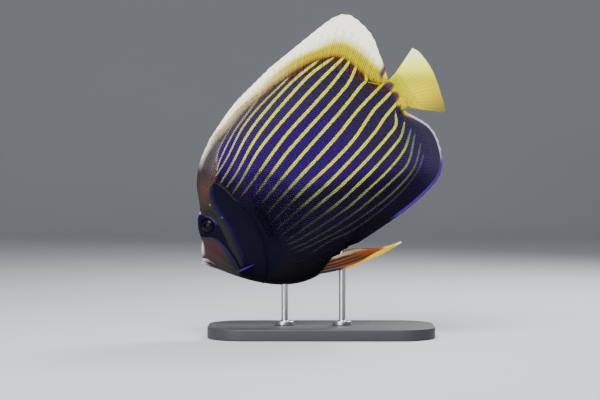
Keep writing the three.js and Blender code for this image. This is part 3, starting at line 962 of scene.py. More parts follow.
        # Painted light: the stripes go from shaded dull through half-lit to lit yellow toward the
        # upper rear, as lit from above; each stripe's own dullness holds this down.
        painted_light = n.step(along + up * 0.9, 78, 178) * (1 - n.value("dull"))
        tip = n.step(along, 230, 250) * (1 - n.step(up, -16, 12))
        edge, rear = n.value("yellow_back"), n.step(along, 95, 214)
        near = n.step(edge, -17.0, -6.0) * (1 - 0.7 * rear)
        colour = n.laid(
            self.stripe_shaded_dull,
            (n.step(painted_light, 0.0, 0.55), self.stripe_mid),
            (n.step(painted_light, 0.45, 1.0), self.stripe_lit_yellow),
            (n.value("white"), self.stripe_white),
            (tip * 0.85, self.stripe_tip),
            (near * 0.55, n.mix(rear, self.mauve, self.brown)),
        )
        away = n.maths("ABSOLUTE", n.value("stripe"), 0.0)
        inside = n.step(n.value("stripe_half") - away + wobble * 0.2 - near * 0.2, -0.35, 0.35)
        front = n.step(along + up * 0.3, 64, 73)
        return n.mix(inside * front * (1 - n.step(edge, -5.0, 1.0)), under, colour)

    def _head(self, n: Nodes, under: Any, along: Wire, up: Wire, wobble: Wire) -> Any:
        """The snout, the black mask with its blue rims, the cheek's blue band, and painted
        highlights.

        Args:
            n: the material's nodes.
            under: the colour below.
            along: station of the shaded point.
            up: its height.
            wobble: small waves for the edges of the colours.

        Returns:
            The colour with this layer.
        """
        # A pale strip along the front of the snout: partly the pale lip colour, partly a painted
        # highlight on the wet front edge.
        pale_front_and_highlight = (1 - n.step(n.value("side"), 3.0, 7.5)) * n.step(up, 0, 8)
        snout = n.laid(
            self.snout,
            (n.patch(along, up, (13, 1), 12), self.rosy),
            (1 - n.step(up + along * -0.6, -34, -18), self.chin),
            (pale_front_and_highlight * (1 - n.step(up, 12, 20)) * (1 - n.step(along, 7, 11)), self.pale_lip_and_highlight),
        )
        shoulder, high = n.value("shoulder") + wobble * 0.5, n.step(up, 20, 32)
        dark = n.step(shoulder, -3.5, 1.5) * (1 - high) + n.step(shoulder, -0.7, 0.5) * high
        edge = n.step(n.value("shoulder_edge") + wobble * 0.3, -0.5, 0.3)
        # Where the mask's rear rim meets the back's ridge it pales toward white: a painted
        # highlight on the brow.
        rim = n.mix((1 - n.step(n.value("ridge"), 0.2, 3.2)) * 0.7, self.rim_blue, self.pale_lip_and_highlight)
        # Two small pale grey spots above and behind the eye.
        pale_spots = n.patch(along, up, (37.5, 42), 1.5) + n.patch(along, up, (40.5, 24), 1.3)
        return n.laid(
            under,
            (n.step(n.value("snout") + wobble, -0.5, 0.5), snout),
            (dark, self.navy),
            (edge * 0.9, self.shoulder_line),
            (n.step(n.value("cheek_rear") + wobble, -0.9, 0.6), self.cheek_edge),
            (n.step(n.value("cheek") + wobble, -1.2, 0.8) * 0.9, self.cheek_blue),
            (n.step(n.value("mask_front") + wobble, -1.2, 0.8) * 0.95, self.rim_violet),
            (n.step(n.value("mask") + wobble, -0.45, 0.45), self.navy),
            (n.step(n.value("mask_rear") + wobble, -1.0, 0.6) * 0.9, rim),
            (pale_spots, self.pore),
        )

    def _fins(self, n: Nodes, under: Any, along: Wire, up: Wire, wobble: Wire) -> Any:
        """The yellow tail with painted backlight above, and the dark anal fin whose blue rim turns
        white behind.

        Args:
            n: the material's nodes.
            under: the colour below.
            along: station of the shaded point.
            up: its height.
            wobble: small waves for the edges of the colours.

        Returns:
            The colour with this layer.
        """
        tail, high = n.value("yellow_tail") + wobble, along * 0.5 + up * 0.8
        # The tail pales upward toward cream: painted backlight over its yellow, as where light from
        # above shines through the thin fin.
        painted_backlight = n.laid(
            self.tail_low,
            (n.step(high, 146, 166), self.tail_mid),
            (n.step(high, 163, 179), self.tail_backlit_pale),
            (n.step(high, 174, 190) * 0.5, self.backlight_cream),
            ((1 - n.step(tail, 0.5, 5.0)) * 0.3, self.orange),
        )
        grey = n.value("fin") * n.step(along, 225, 262) * (1 - n.step(up, -20, 20))
        reach = n.step(along, 180, 196) * (1 - n.step(up, -4, 6))
        edge = n.value("anal_edge") + wobble * 0.6 - (1.5 - n.step(up, -70, -50) * 1.3)
        tint = n.mix(n.step(up, -62, -46), self.fin_blue, self.fin_white)
        colour = n.laid(
            under,
            (n.patch(along, up, (260, 1), 9) * 0.8, self.maroon),
            (n.step(tail, -9.0, -3.0) * n.step(along, 256, 261), self.lobe),
            (n.step(tail, -2.6, -0.4) * 0.7, self.orange),
            (n.step(tail, -0.8, 0.8), painted_backlight),
            (grey * 0.8, self.fin_grey),
            ((1 - n.step(edge, 1.0, 2.4)) * reach * 0.9, tint),
        )
        ray = n.value("ray") * n.value("fin")
        return n.mix(ray * 0.1, colour, paint(255, 255, 255), "SOFT_LIGHT")


# The body's skin


@dataclass(frozen=True)
class RayedFin:
    """An upright fin along the back or belly: its root, outer margin and rays.

    The root runs along a line of the body from start to end, sunk below it. The rays bend, the
    margin is notched between them, and they fork toward it.
    """

    line: Profile
    start: float
    end: float
    sink: float
    margin: Points
    bend: float
    rays: int
    notch: float
    fork: float

    def ray(self, share: Array, t: Array) -> Array:
        """Points on the fin's rays.

        Args:
            share: how far along the fin each ray stands.
            t: how far from the sunk root to the margin each point is.

        Returns:
            (x, z) rows.
        """
        stations = np.linspace(self.start, self.end, 9)
        root = Run(list(zip(stations, self.line(stations) + self.sink)))
        start, end = root.point(share), Run(self.margin).point(share)
        t = t[..., None]
        return start + (end - start) * t + left_of(end - start) * (self.bend * 4 * t * (1 - t))

    def rooted(self) -> tuple[Array, Array, Array]:
        """Where each ray leaves the body.

        Returns:
            Shares along the fin, the station and the share t of the ray at the crossing.
        """
        shares = np.linspace(0, 1, 160)
        steps = np.linspace(0, 0.9, 181)
        way = -math.copysign(1, self.sink)
        points = self.ray(shares[:, None] + 0 * steps, steps + 0 * shares[:, None])
        clear = way * (points[..., 1] - self.line(points[..., 0])) > 0
        first = np.argmax(clear, axis=1)
        stations = np.take_along_axis(points[..., 0], first[:, None], 1)[:, 0]
        return shares, np.maximum.accumulate(stations), steps[first]


SOFT_FORK = 0.16
SPINY_DORSAL = RayedFin(
    line=BACK, start=66, end=149.85, sink=-5, bend=0.04, rays=14, notch=0.045, fork=0.0,
    margin=((77, 98.5), (95, 105.5), (108, 110.3), (123, 114.7), (142, 118.2), (168, 122.7)),
)
SOFT_DORSAL = RayedFin(
    line=BACK, start=150.3, end=256, sink=-5, bend=0.05, rays=20, notch=0.012, fork=SOFT_FORK,
    margin=(
        (168, 122.7), (200, 125), (240, 127.8), (256, 127.5), (266, 123.5), (272, 115), (276, 97),
        (275.5, 84), (272, 71), (268, 54), (264.5, 46.5),
    ),
)
ANAL = RayedFin(
    line=BELLY, start=130, end=252, sink=5, bend=-0.05, rays=22, notch=0.012, fork=SOFT_FORK,
    margin=ANAL_MARGIN,
)
TAIL_MARGIN = ((303, 54.5), (306.5, 46), (307, 27), (304, 11), (300, -2), (297, -12), (293, -20.5))
TAIL_ROOT = ((258, 38.5), (258, 10.5))
TAIL_RAYS = 17
TAIL_FORK = 0.2
MEMBRANE_HALF = 0.3
RIDGE = 0.28
RIDGE_TAPER = 0.75
EDGE_ROUND = 0.7


def fin_half(thicker: float, relief: Array, t: Array) -> Array:
    """Half a fin's thickness.

    Args:
        thicker: how much thicker it is at its root.
        relief: how far up a ray's ridge each point is.
        t: how far it is from root to margin.

    Returns:
        The half thickness at each point, before its edges are rounded.
    """
    return MEMBRANE_HALF + thicker * (1 - t) ** 3 + relief * RIDGE * (1 - RIDGE_TAPER * t)


def between_rays(place: Array) -> Array:
    """How far points are from the rays beside them: 0 on a ray and 1 midway."""
    return np.sin(np.pi * (place - np.floor(place))) ** 2


def ray_relief(place: Array, t: Array, branching: float) -> Array:
    """How far a point is up the ridge of a fin ray.

    Args:
        place: the point's place across the fin, counted in rays.
        t: how far it is from root to margin.
        branching: how far apart the ray's branches stand at the margin, in ray gaps.

    Returns:
        1 on a ray's crest and 0 on the membrane.
    """
    off = np.abs(place - np.round(place))
    fork = branching * ease(t, 0.35, 1.0)
    width = 0.2 - 0.05 * t
    outer = bump(off - 2.1 * fork, width) * 0.6 * ease(t, 0.6, 0.95)
    return np.maximum(bump(off - fork, width), outer)


@dataclass(frozen=True)
class Skin:
    """The fish's one skin: head, trunk, tail stalk, and the upright fins that grow from it."""

    body_rows: int = 150
    fin_rows: int = 28
    tail_columns: int = 64
    root_half: float = 3.7
    cover_rise: float = 0.8
    eye_rim: float = 8.9
    socket_depth: float = 3.6
    brow: float = 11.5
    nostrils: Points = ((11, 13.6), (14.6, 17.2))
    nostril_depth: float = 1.1
    mouth_depth: float = 1.5
    head_end: float = 72.0
    snout_dome: float = 1.6
    fin_lead: float = 5.0
    fin_trail: float = 4.0
    stalk_round: float = 3.0
    tail_root: float = 0.125
    tail_thicker: float = 3.3
    tail_length: float = 44.0

    def stations(self) -> Array:
        """The body's columns, closest together at the snout."""
        steps = [np.arange(SNOUT, 20, 0.3), np.arange(20, 60, 0.5), np.arange(60, TAIL_END, 0.62)]
        return np.concatenate([*steps, [TAIL_END]])

    def grid(self) -> tuple[Array, Values]:
        """Lays out the left side of the skin.

        Returns:
            Points as columns by rows by xyz, and the fin and ray values of each.
        """
        x = self.stations()
        turn = np.linspace(-math.pi / 2, math.pi / 2, self.body_rows + 1)
        middle, reach = trunk(x)
        z = middle[:, None] + reach[:, None] * np.sin(turn)
        pinch = np.where(turn > 0, BACK_PINCH(x)[:, None], BELLY_PINCH(x)[:, None])
        flesh = HALF_WIDTH(x)[:, None] * np.maximum(np.cos(turn), 0) ** pinch
        upper = self._fin_rows(x, (SPINY_DORSAL, SOFT_DORSAL))
        lower = self._fin_rows(x, (ANAL,))
        top_half, low_half = upper["half"][:, :1], lower["half"][:, :1]
        stalk = ease(x, 246, TAIL_END)[:, None]
        blunt = self._tail_half(self._tail_share(z), self.tail_root + 0 * z)
        ends = np.minimum(BACK(x)[:, None] - z, z - BELLY(x)[:, None])
        blunt = blunt * rounded(ends, self.stalk_round) * stalk
        half = (flesh**4 + top_half**4 * (turn > 0) + low_half**4 * (turn < 0) + blunt**4) ** 0.25
        body = np.stack([x[:, None] + 0 * z, -half, z], -1)
        body = self._relief(body)
        points = np.concatenate([lower["points"][:, ::-1], body[:, 1:-1], upper["points"]], 1)
        bare = np.zeros(body[:, 1:-1, 0].shape)
        values = {
            name: np.concatenate([lower[name][:, ::-1], bare, upper[name]], 1)
            for name in ("fin", "ray")
        }
        return self._with_tail(*self._with_snout(points, values))

    def _fin_rows(self, x: Array, fins: tuple[RayedFin, ...]) -> Values:
        """Rows of an upright fin for every column of the body.

        Args:
            x: the body's columns.
            fins: the fins along that line, from front to rear.

        Returns:
            Points, half thickness, and the fin and ray values.
        """
        line = fins[0].line
        t_row = np.concatenate([np.linspace(0, 0.985, self.fin_rows - 3), [0.993, 0.998, 1.0]])
        points = np.stack([x, 0 * x, line(x)], -1)[:, None, :].repeat(self.fin_rows, 1)
        half = np.zeros(points.shape[:2])
        ray = np.zeros(points.shape[:2])
        first, last = fins[0].rooted()[1][0], fins[-1].rooted()[1][-1]
        for k, fin in enumerate(fins):
            shares, roots, leave = fin.rooted()
            low = first - self.fin_lead if k == 0 else roots[0]
            final = k == len(fins) - 1
            high = last + self.fin_trail if final else fins[k + 1].rooted()[1][0]
            mine = (x >= low) & (x < high)
            share = np.interp(x[mine], roots, shares)
            t0 = np.interp(share, shares, leave)[:, None]
            place = share[:, None] * (fin.rays - 1)
            t = t0 + (1 - fin.notch * between_rays(place) - t0) * t_row
            spot = fin.ray(share[:, None] + 0 * t, t)
            keel = np.stack([x[mine], line(x[mine])], -1)[:, None, :]
            begun = ease(x[mine], first - self.fin_lead, first)
            there = (begun * ease(-x[mine], -last - self.fin_trail, -last))[:, None]
            offset = (spot - spot[:, :1]) * there[..., None]
            points[mine, :, ::2] = keel + offset
            ray[mine] = ray_relief(place + 0 * t, t, fin.fork)
            full = fin_half(self.root_half - MEMBRANE_HALF, ray[mine], t)
            away = (1 - t_row) * np.linalg.norm(offset[:, -1], axis=-1)[:, None]
            half[mine] = full * rounded(away, EDGE_ROUND) * there
        points[..., 1] = -half
        present = ease(np.linalg.norm(points[:, -1] - points[:, 0], axis=-1), 1, 6)[:, None]
        return {"points": points, "half": half, "ray": ray, "fin": present * ease(t_row, 0, 0.25)}

    @staticmethod
    def _tail_share(z: Array) -> Array:
        """How far down the tail's fan a height of the stalk's end lies."""
        top, low = float(BACK(TAIL_END)), float(BELLY(TAIL_END))
        return np.clip((top - z) / (top - low), 0, 1)

    def _tail_half(self, share: Array, t: Array) -> Array:
        """Half the tail fin's thickness."""
        return fin_half(self.tail_thicker, ray_relief(share * (TAIL_RAYS - 1), t, TAIL_FORK), t)

    def _with_snout(self, points: Array, values: Values) -> tuple[Array, Values]:
        """Adds the dome that closes the front of the snout, a ring at a time.

        Args:
            points: the grid of the body.
            values: the fin and ray values of each point.

        Returns:
            The grid and its values with the dome's rings in front.
        """
        ring = points[0]
        centre = np.array([SNOUT, 0, ring[:, 2].mean()])
        angles = np.linspace(0, math.pi / 2, 9)[:-1, None, None]
        rings = centre + (ring - centre) * np.sin(angles)
        rings[..., 0] = SNOUT - self.snout_dome * np.cos(angles[..., 0])
        lead = np.zeros(rings.shape[:2])
        grown = {name: np.concatenate([lead, value]) for name, value in values.items()}
        return np.concatenate([rings, points]), grown

    def _with_tail(self, points: Array, values: Values) -> tuple[Array, Values]:
        """Adds the tail fin's columns behind the stalk.

        Args:
            points: the grid of the body.
            values: the fin and ray values of each point.

        Returns:
            The grid and its values with the tail fin's columns behind.
        """
        last = points[-1]
        share = self._tail_share(last[:, 2])
        margin, start = Run(TAIL_MARGIN).point(share), last[:, [0, 2]]
        aim = unit(margin - Run(TAIL_ROOT).point(share))
        reach = np.linalg.norm(margin - start, axis=-1, keepdims=True)
        fall = np.interp(share, [0, 0.5, 1], [0.1, 0, -1.1])
        level = unit(np.stack([np.ones(len(share)), fall], -1))
        step = 1 - np.cos(np.linspace(0, math.pi, self.tail_columns + 1)[1:])
        travel = 0.35 * np.linspace(0, 1, self.tail_columns + 1)[1:] + 0.65 * step / 2
        columns, rays = [], []
        for t in travel:
            h = (2 * t**3 - 3 * t**2 + 1, t**3 - 2 * t**2 + t, 3 * t**2 - 2 * t**3, t**3 - t**2)
            bent = (h[1] * level * 0.8 + h[3] * aim * 0.9) * reach
            spot = h[0] * start + h[2] * margin + bent
            t_ray = self.tail_root + (1 - self.tail_root) * t + 0 * share
            relief = ray_relief(share * (TAIL_RAYS - 1), t_ray, TAIL_FORK)
            column = np.stack([spot[:, 0], 0 * share, spot[:, 1]], -1)
            gap = np.min([np.linalg.norm(column - column[end], axis=-1) for end in (0, -1)], axis=0)
            edge = max(self.stalk_round * float(1 - t_ray[0]) ** 3, EDGE_ROUND)
            thin = fin_half(self.tail_thicker, relief, t_ray) * rounded(gap, edge)
            fading = -last[:, 1] * (1 - ease(t, 0, 0.4))
            rear = rounded((1 - t) * self.tail_length, EDGE_ROUND)
            column[:, 1] = -((thin**4 + fading**4) ** 0.25) * rear
            columns.append(column)
            rays.append(relief)
        fin = ease(travel, 0, 0.25)[:, None] * np.ones(len(share))
        values = {
            "fin": np.concatenate([values["fin"], fin]),
            "ray": np.concatenate([values["ray"], np.array(rays)]),
        }
        return np.concatenate([points, np.array(columns)]), values

    def _relief(self, body: Array) -> Array:
        """Models the head: mouth, gill cover, cheek edge, eye socket and nostrils.

        Args:
            body: the smooth grid of the body.

        Returns:
            The grid with the head in relief.
        """
        along, upward = np.gradient(body, axis=0), np.gradient(body, axis=1)
        out = unit(np.cross(along, upward))
        out[..., 1] = -np.abs(out[..., 1])
        head = body[:, 0, 0] < self.head_end
        x, z = body[head][..., 0], body[head][..., 2]
        cover = Run([*GILL_OPENING, *reversed(CHEEK_EDGE)], 80, closed=True).within(x, z)
        lines = ((GILL_OPENING, 48), (CHEEK_EDGE, 48), (MOUTH_LINE, 30))
        opening, cheek, mouth = (Run(line, steps).near(x, z)[0] for line, steps in lines)
        raised = self.cover_rise * (cover > 0) * ease(opening, 0, 1.3) * ease(cheek, 0, 6)
        sunk = 0.45 * (cover <= 0) * bump(opening, 1.5) + 0.4 * bump(cheek, 0.9)
        sunk = sunk + self.mouth_depth * bump(mouth, 0.8) * (x < LIP_LINE[-1][0])
        moved = body.copy()
        moved[head] = self._openings(body[head] + out[head] * (raised - sunk)[..., None])
        return moved

    def _openings(self, near: Array) -> Array:
        """Sinks the eye socket and the nostrils and raises a rim round each.

        Args:
            near: the points of the head.

        Returns:
            The points with the openings in relief.
        """
        centre, out = on_skin(*EYE, Side.LEFT)
        away = near - centre
        axial = away @ out
        radial = np.linalg.norm(away - axial[..., None] * out, axis=-1)
        push = bump(radial - self.eye_rim, 0.9) + 0.35 * bump(radial - self.brow, 1.6)
        push = push - self.socket_depth * (1 - ease(radial, 6.4, 8.4))
        near = near + (push * (np.abs(axial) < 9))[..., None] * out
        for x, z in self.nostrils:
            centre, out = on_skin(x, z, Side.LEFT)
            radial = np.linalg.norm(near - centre, axis=-1)
            sunk = self.nostril_depth * (1 - ease(radial, 0.3, 1.1))
            push = 0.55 * bump(radial - 1.35, 0.5) - sunk
            near = near + push[..., None] * out
        return near

    def build(self) -> tuple[Array, Values]:
        """Makes the skin.

        Returns:
            The left side's grid and its values.
        """
        left, values = self.grid()
        columns, rows = left.shape[:2]
        points = np.concatenate([(left * (1, -side.value, 1)).reshape(-1, 3) for side in Side])
        faces = np.concatenate([
            grid_faces(columns, rows, flip=True), grid_faces(columns, rows, columns * rows)
        ])
        carried = {name: np.tile(value.ravel(), 2) for name, value in values.items()}
        carried.update(Markings().values(points))
        carried["tone"] = np.zeros(len(points))
        spread = np.concatenate([side_map(columns, rows, side).reshape(-1, 2) for side in Side])
        fish_piece(
            Shape(points, faces, spread[faces], carried), "fish_skin",
            FishPaint("skin_paint").material(), "trunk_skin", "head", "upper_jaw", "lower_jaw",
            "torso_front", "torso_rear", "tail_stalk", "gill_cover_left", "gill_cover_right",
            "dorsal_fin_spiny", "dorsal_fin_soft", "anal_fin", "tail_fin",
        )
        return left, values


def side_map(columns: int, rows: int, side: Side) -> Array:
    """The unwrap of one side of the skin.

    Args:
        columns: the grid's columns.
        rows: the grid's rows.
        side: the left side fills the lower half of the map, the right side the upper.

    Returns:
        A place on the map for each point of the grid.
    """
    u = np.linspace(0.005, 0.995, columns)
    v = np.linspace(0.005, 0.49, rows) + (0.505 if side is Side.RIGHT else 0)
    return np.stack(np.meshgrid(u, v, indexing="ij"), -1)


# Scales


@dataclass(frozen=True)
class Scales:
    """Overlapping scales over the skin, each a small closed lens that points to the tail."""

    size: Profile = Profile(
        (12, 1.15), (25, 1.3), (45, 1.6), (70, 2.0), (130, 2.15), (220, 2.0), (262, 1.5), (285, 1.2)
    )
    overlap: float = 1.4
    lift: float = 0.12
    bare_snout: float = 13.0
    bare_eye: float = 11.0
    bare_nostril: float = 2.6
    bare_fin_half: float = 0.45
    bare_tail: float = 276.0
    column_gap: float = 0.84
    parting: float = 135.0
    seed: int = 7

    def build(self, grid: Array, values: Values) -> None:
        """Covers both sides of the skin, each with a front and a rear piece.

        Args:
            grid: the left side's points, columns by rows.
            values: the fin value of each point.
        """
        material = FishPaint("scale_paint").material()
        found = self._roots(grid, values)
        front = found[0][:, 0] < self.parting
        for side in Side:
            flip = np.array([1, -side.value, 1])
            shift = np.array([0, 0.505 if side is Side.RIGHT else 0])
            for word, part in (("front", front), ("rear", ~front)):
                roots, ways, outs, sizes, maps = (each[part] for each in found)
                shape = self._lenses(roots * flip, ways * flip, outs * flip, sizes, maps + shift)
                made = shape.object(f"scales_{side.word}_{word}")
                finish_piece(made, material, "trunk_skin")

    def _roots(self, grid: Array, values: Values) -> tuple[Array, ...]:
        """Sets out the roots in staggered columns.

        Args:
            grid: the left side's points.
            values: the fin value of each point.

        Returns:
            Roots, directions to the tail, outward directions, sizes and places on the map.
        """
        columns, rows = grid.shape[:2]
        along, upward = np.gradient(grid, axis=0), np.gradient(grid, axis=1)
        out = unit(np.cross(upward, along))
        out *= np.where(out[..., 1:2] > 0, -1, 1)
        unwrapped = side_map(columns, rows, Side.LEFT)
        middle = grid[:, rows // 2]
        found: list[tuple[Array, ...]] = []
        place = float(np.argmax(middle[:, 0] > 8.0))
        odd = False
        while place < columns - 2:
            c, f = int(place), place - int(place)
            ring = (1 - f) * grid[c] + f * grid[c + 1]
            size = self.size(ring[:, 0]) * (1 - 0.5 * values["fin"][c])
            gaps = np.linalg.norm(np.diff(ring, axis=0), axis=-1)
            count = np.concatenate([[0], np.cumsum(gaps / ((size[1:] + size[:-1]) / 2))])
            spots = np.arange(0.5 if odd else 0.0, count[-1], 1.0)
            row = np.interp(spots, count, np.arange(rows))
            r, g = row.astype(int).clip(0, rows - 2), (row - row.astype(int))[:, None]
            grids = (ring, along[c], out[c], unwrapped[c])
            spot, way, outward, mapped = ((1 - g) * part[r] + g * part[r + 1] for part in grids)
            sized = np.interp(row, np.arange(rows), size)
            found.append((spot, unit(way), unit(outward), sized, mapped))
            step = float(np.median(np.linalg.norm(grid[c + 1] - grid[c], axis=-1)[30:-30]))
            place += self.column_gap * float(self.size(middle[c, 0])) / max(step, 0.05)
            odd = not odd
        parts = [np.concatenate(part) for part in zip(*found)]
        keep = self._kept(parts[0])
        return tuple(part[keep] for part in parts)

    def _kept(self, roots: Array) -> Array:
        """Which places carry a scale: not the lips, eye, nostrils or the fins' outer parts.

        Args:
            roots: the places.

        Returns:
            Whether each carries one.
        """
        x, z = roots[:, 0], roots[:, 2]
        clear = np.hypot(x - EYE[0], z - EYE[1]) > self.bare_eye
        for a, b in Skin.nostrils:
            clear &= np.hypot(x - a, z - b) > self.bare_nostril
        thick = np.abs(roots[:, 1]) > self.bare_fin_half
        return clear & thick & (x < self.bare_tail) & (x + 0.25 * z > self.bare_snout)

    def _lenses(self, roots: Array, ways: Array, outs: Array, sizes: Array, maps: Array) -> Shape:
        """Makes one piece of scales.

        Args:
            roots: where each scale grows.
            ways: direction to the tail at each root.
            outs: direction out of the skin at each root.
            sizes: spacing of the scales there.
            maps: the root's place on the map.

        Returns:
            One shape of closed lenses.
        """
        rng = np.random.default_rng(self.seed)
        outline = np.array([
            (-0.35, 0.0), (0.0, 0.44), (0.5, 0.56), (0.85, 0.36), (1.0, 0.0), (0.85, -0.36),
            (0.5, -0.56), (0.0, -0.44), (0.45, 0.0),
        ])
        height = np.array([-0.5, -0.25, 0.35, 0.85, 1.0, 0.85, 0.35, -0.25, 1.15])
        across = unit(np.cross(outs, ways))
        ways = unit(np.cross(across, outs))
        spin = rng.normal(0, 0.05, len(roots))[:, None]
        ways, across = ways + across * spin, across - ways * spin
        grown = (sizes * rng.uniform(0.95, 1.08, len(roots)))[:, None, None]
        a, b = outline[:, 0][None, :, None], outline[:, 1][None, :, None]
        lift = (self.lift * (0.6 + 0.2 * sizes) * rng.uniform(0.8, 1.2, len(roots)))[:, None, None]
        points = (
            roots[:, None, :] + ways[:, None, :] * a * grown * self.overlap
            + across[:, None, :] * b * grown + outs[:, None, :] * height[None, :, None] * lift
        )
        n = len(outline)
        rim = np.arange(n - 1)
        top = np.stack([rim, np.roll(rim, -1), np.full(n - 1, n - 1), np.full(n - 1, n - 1)], -1)
        under = np.array([(7, 6, 5, 4), (7, 4, 3, 0), (0, 3, 2, 1)])
        faces = np.concatenate([top, under])
        start = (np.arange(len(roots)) * n)[:, None, None]
        all_faces = (faces[None] + start).reshape(-1, 4)
        flat = points.reshape(-1, 3)
        spread = (maps[:, None, :] + outline[None] * 0.0014).reshape(-1, 2)
        values = Markings().values(flat, together=n)
        values["fin"] = np.zeros(len(flat))
        values["ray"] = np.zeros(len(flat))
        values["tone"] = np.repeat(rng.normal(0, 0.1, len(roots)), n)
        return Shape(posed(flat), all_faces, spread[all_faces], values)


# Eyes, lips and cheek spines


@dataclass(frozen=True)
class Eye:
    """An eye: an oval ball with a pupil, a dark iris and a thin pale ring."""

    radius: float = 8.0
    depth: float = 5.5
    bulge: float = 2.6
    hidden: float = 20.0
    rings: int = 40
    segments: int = 64

    def build(self, side: Side, material: bpy.types.Material) -> None:
        """Makes one eye, set in its socket.

        Args:
            side: which side of the fish.
            material: the eye's finish.
        """
        place, out = on_skin(*EYE, side)
        polar = np.linspace(0, math.pi, self.rings + 1)
        radial, axial = self.radius * np.sin(polar), self.depth * np.cos(polar)
        axial += 0.5 * bump(radial, 3.8) * (polar < math.pi / 2) + self.bulge - self.depth
        points = turned(radial, axial, place, out, self.segments)
        seen = np.where(polar > math.pi / 2, self.hidden, radial)
        shape = Shape(
            points, grid_faces(self.rings + 1, self.segments + 1), None,
            {"radial": np.repeat(seen, self.segments + 1)},
        )
        fish_piece(shape, f"{side.word}_eye", material, "eye", f"eye_{side.word}")

    def material(self) -> bpy.types.Material:
        """The eye's finish: black pupil, dark iris with fine threads, pale ring, clear coat."""
        n = Nodes("eye_glass")
        radial = n.value("radial") + (n.noise(900, 2.0) - 0.5) * 0.5
        threads = n.noise(1400, 3.0)
        ring = n.step(radial, 3.1, 3.5) * (1 - n.step(radial, 3.9, 4.4))
        colour = n.laid(
            paint(6, 6, 12),
            (threads, paint(17, 14, 17)),
            (n.step(radial, 4.6, 7.0), paint(8, 8, 24)),
            (ring * 0.6, paint(36, 31, 27)),
            (1 - n.step(radial, 2.9, 3.3), paint(4, 4, 6)),
        )
        return n.surface(
            Base_Color=colour,
            Roughness=0.22 + 0.1 * threads,
            Metallic=ring * 0.3,
            Specular_IOR_Level=0.04,
            Coat_Weight=0.1,
            Coat_Roughness=0.04,
        )


def turned(radial: Array, axial: Array, place: Array, axis: Array, segments: int) -> Array:
    """Points of a profile turned round an axis.

    Args:
        radial: the profile's distances from the axis.
        axial: the profile's heights along the axis.
        place: the axis's start.
        axis: the axis's unit direction.
        segments: steps round the axis.

    Returns:
        Profile points by steps, flattened to rows of xyz.
    """
    aside = unit(np.cross(axis, (0.0, 0.0, 1.0) if abs(axis[2]) < 0.9 else (1.0, 0.0, 0.0)))
    second = np.cross(axis, aside)
    angle = np.linspace(0, 2 * math.pi, segments + 1)
    round_way = np.cos(angle)[:, None] * aside + np.sin(angle)[:, None] * second
    points = place + axial[:, None, None] * axis + radial[:, None, None] * round_way
    return points.reshape(-1, 3)


def swept(path: Array, radii: Array, flatten: float, segments: int) -> tuple[Array, Array]:
    """A tube along a path.

    Args:
        path: points along its middle.
        radii: its radius at each point.
        flatten: its height as a share of its width.
        segments: steps round it.

    Returns:
        Points and four-cornered faces.
    """
    way = unit(np.gradient(path, axis=0))
    side = unit(np.cross(way, np.array([0.0, 0.0, 1.0])))
    up = np.cross(side, way)
    angle = np.linspace(0, 2 * math.pi, segments + 1)
    wide = radii[:, None, None] * np.cos(angle)[None, :, None] * side[:, None, :]
    high = (radii * flatten)[:, None, None] * np.sin(angle)[None, :, None] * up[:, None, :]
    points = (path[:, None, :] + wide + high).reshape(-1, 3)
    return points, grid_faces(len(path), segments + 1)


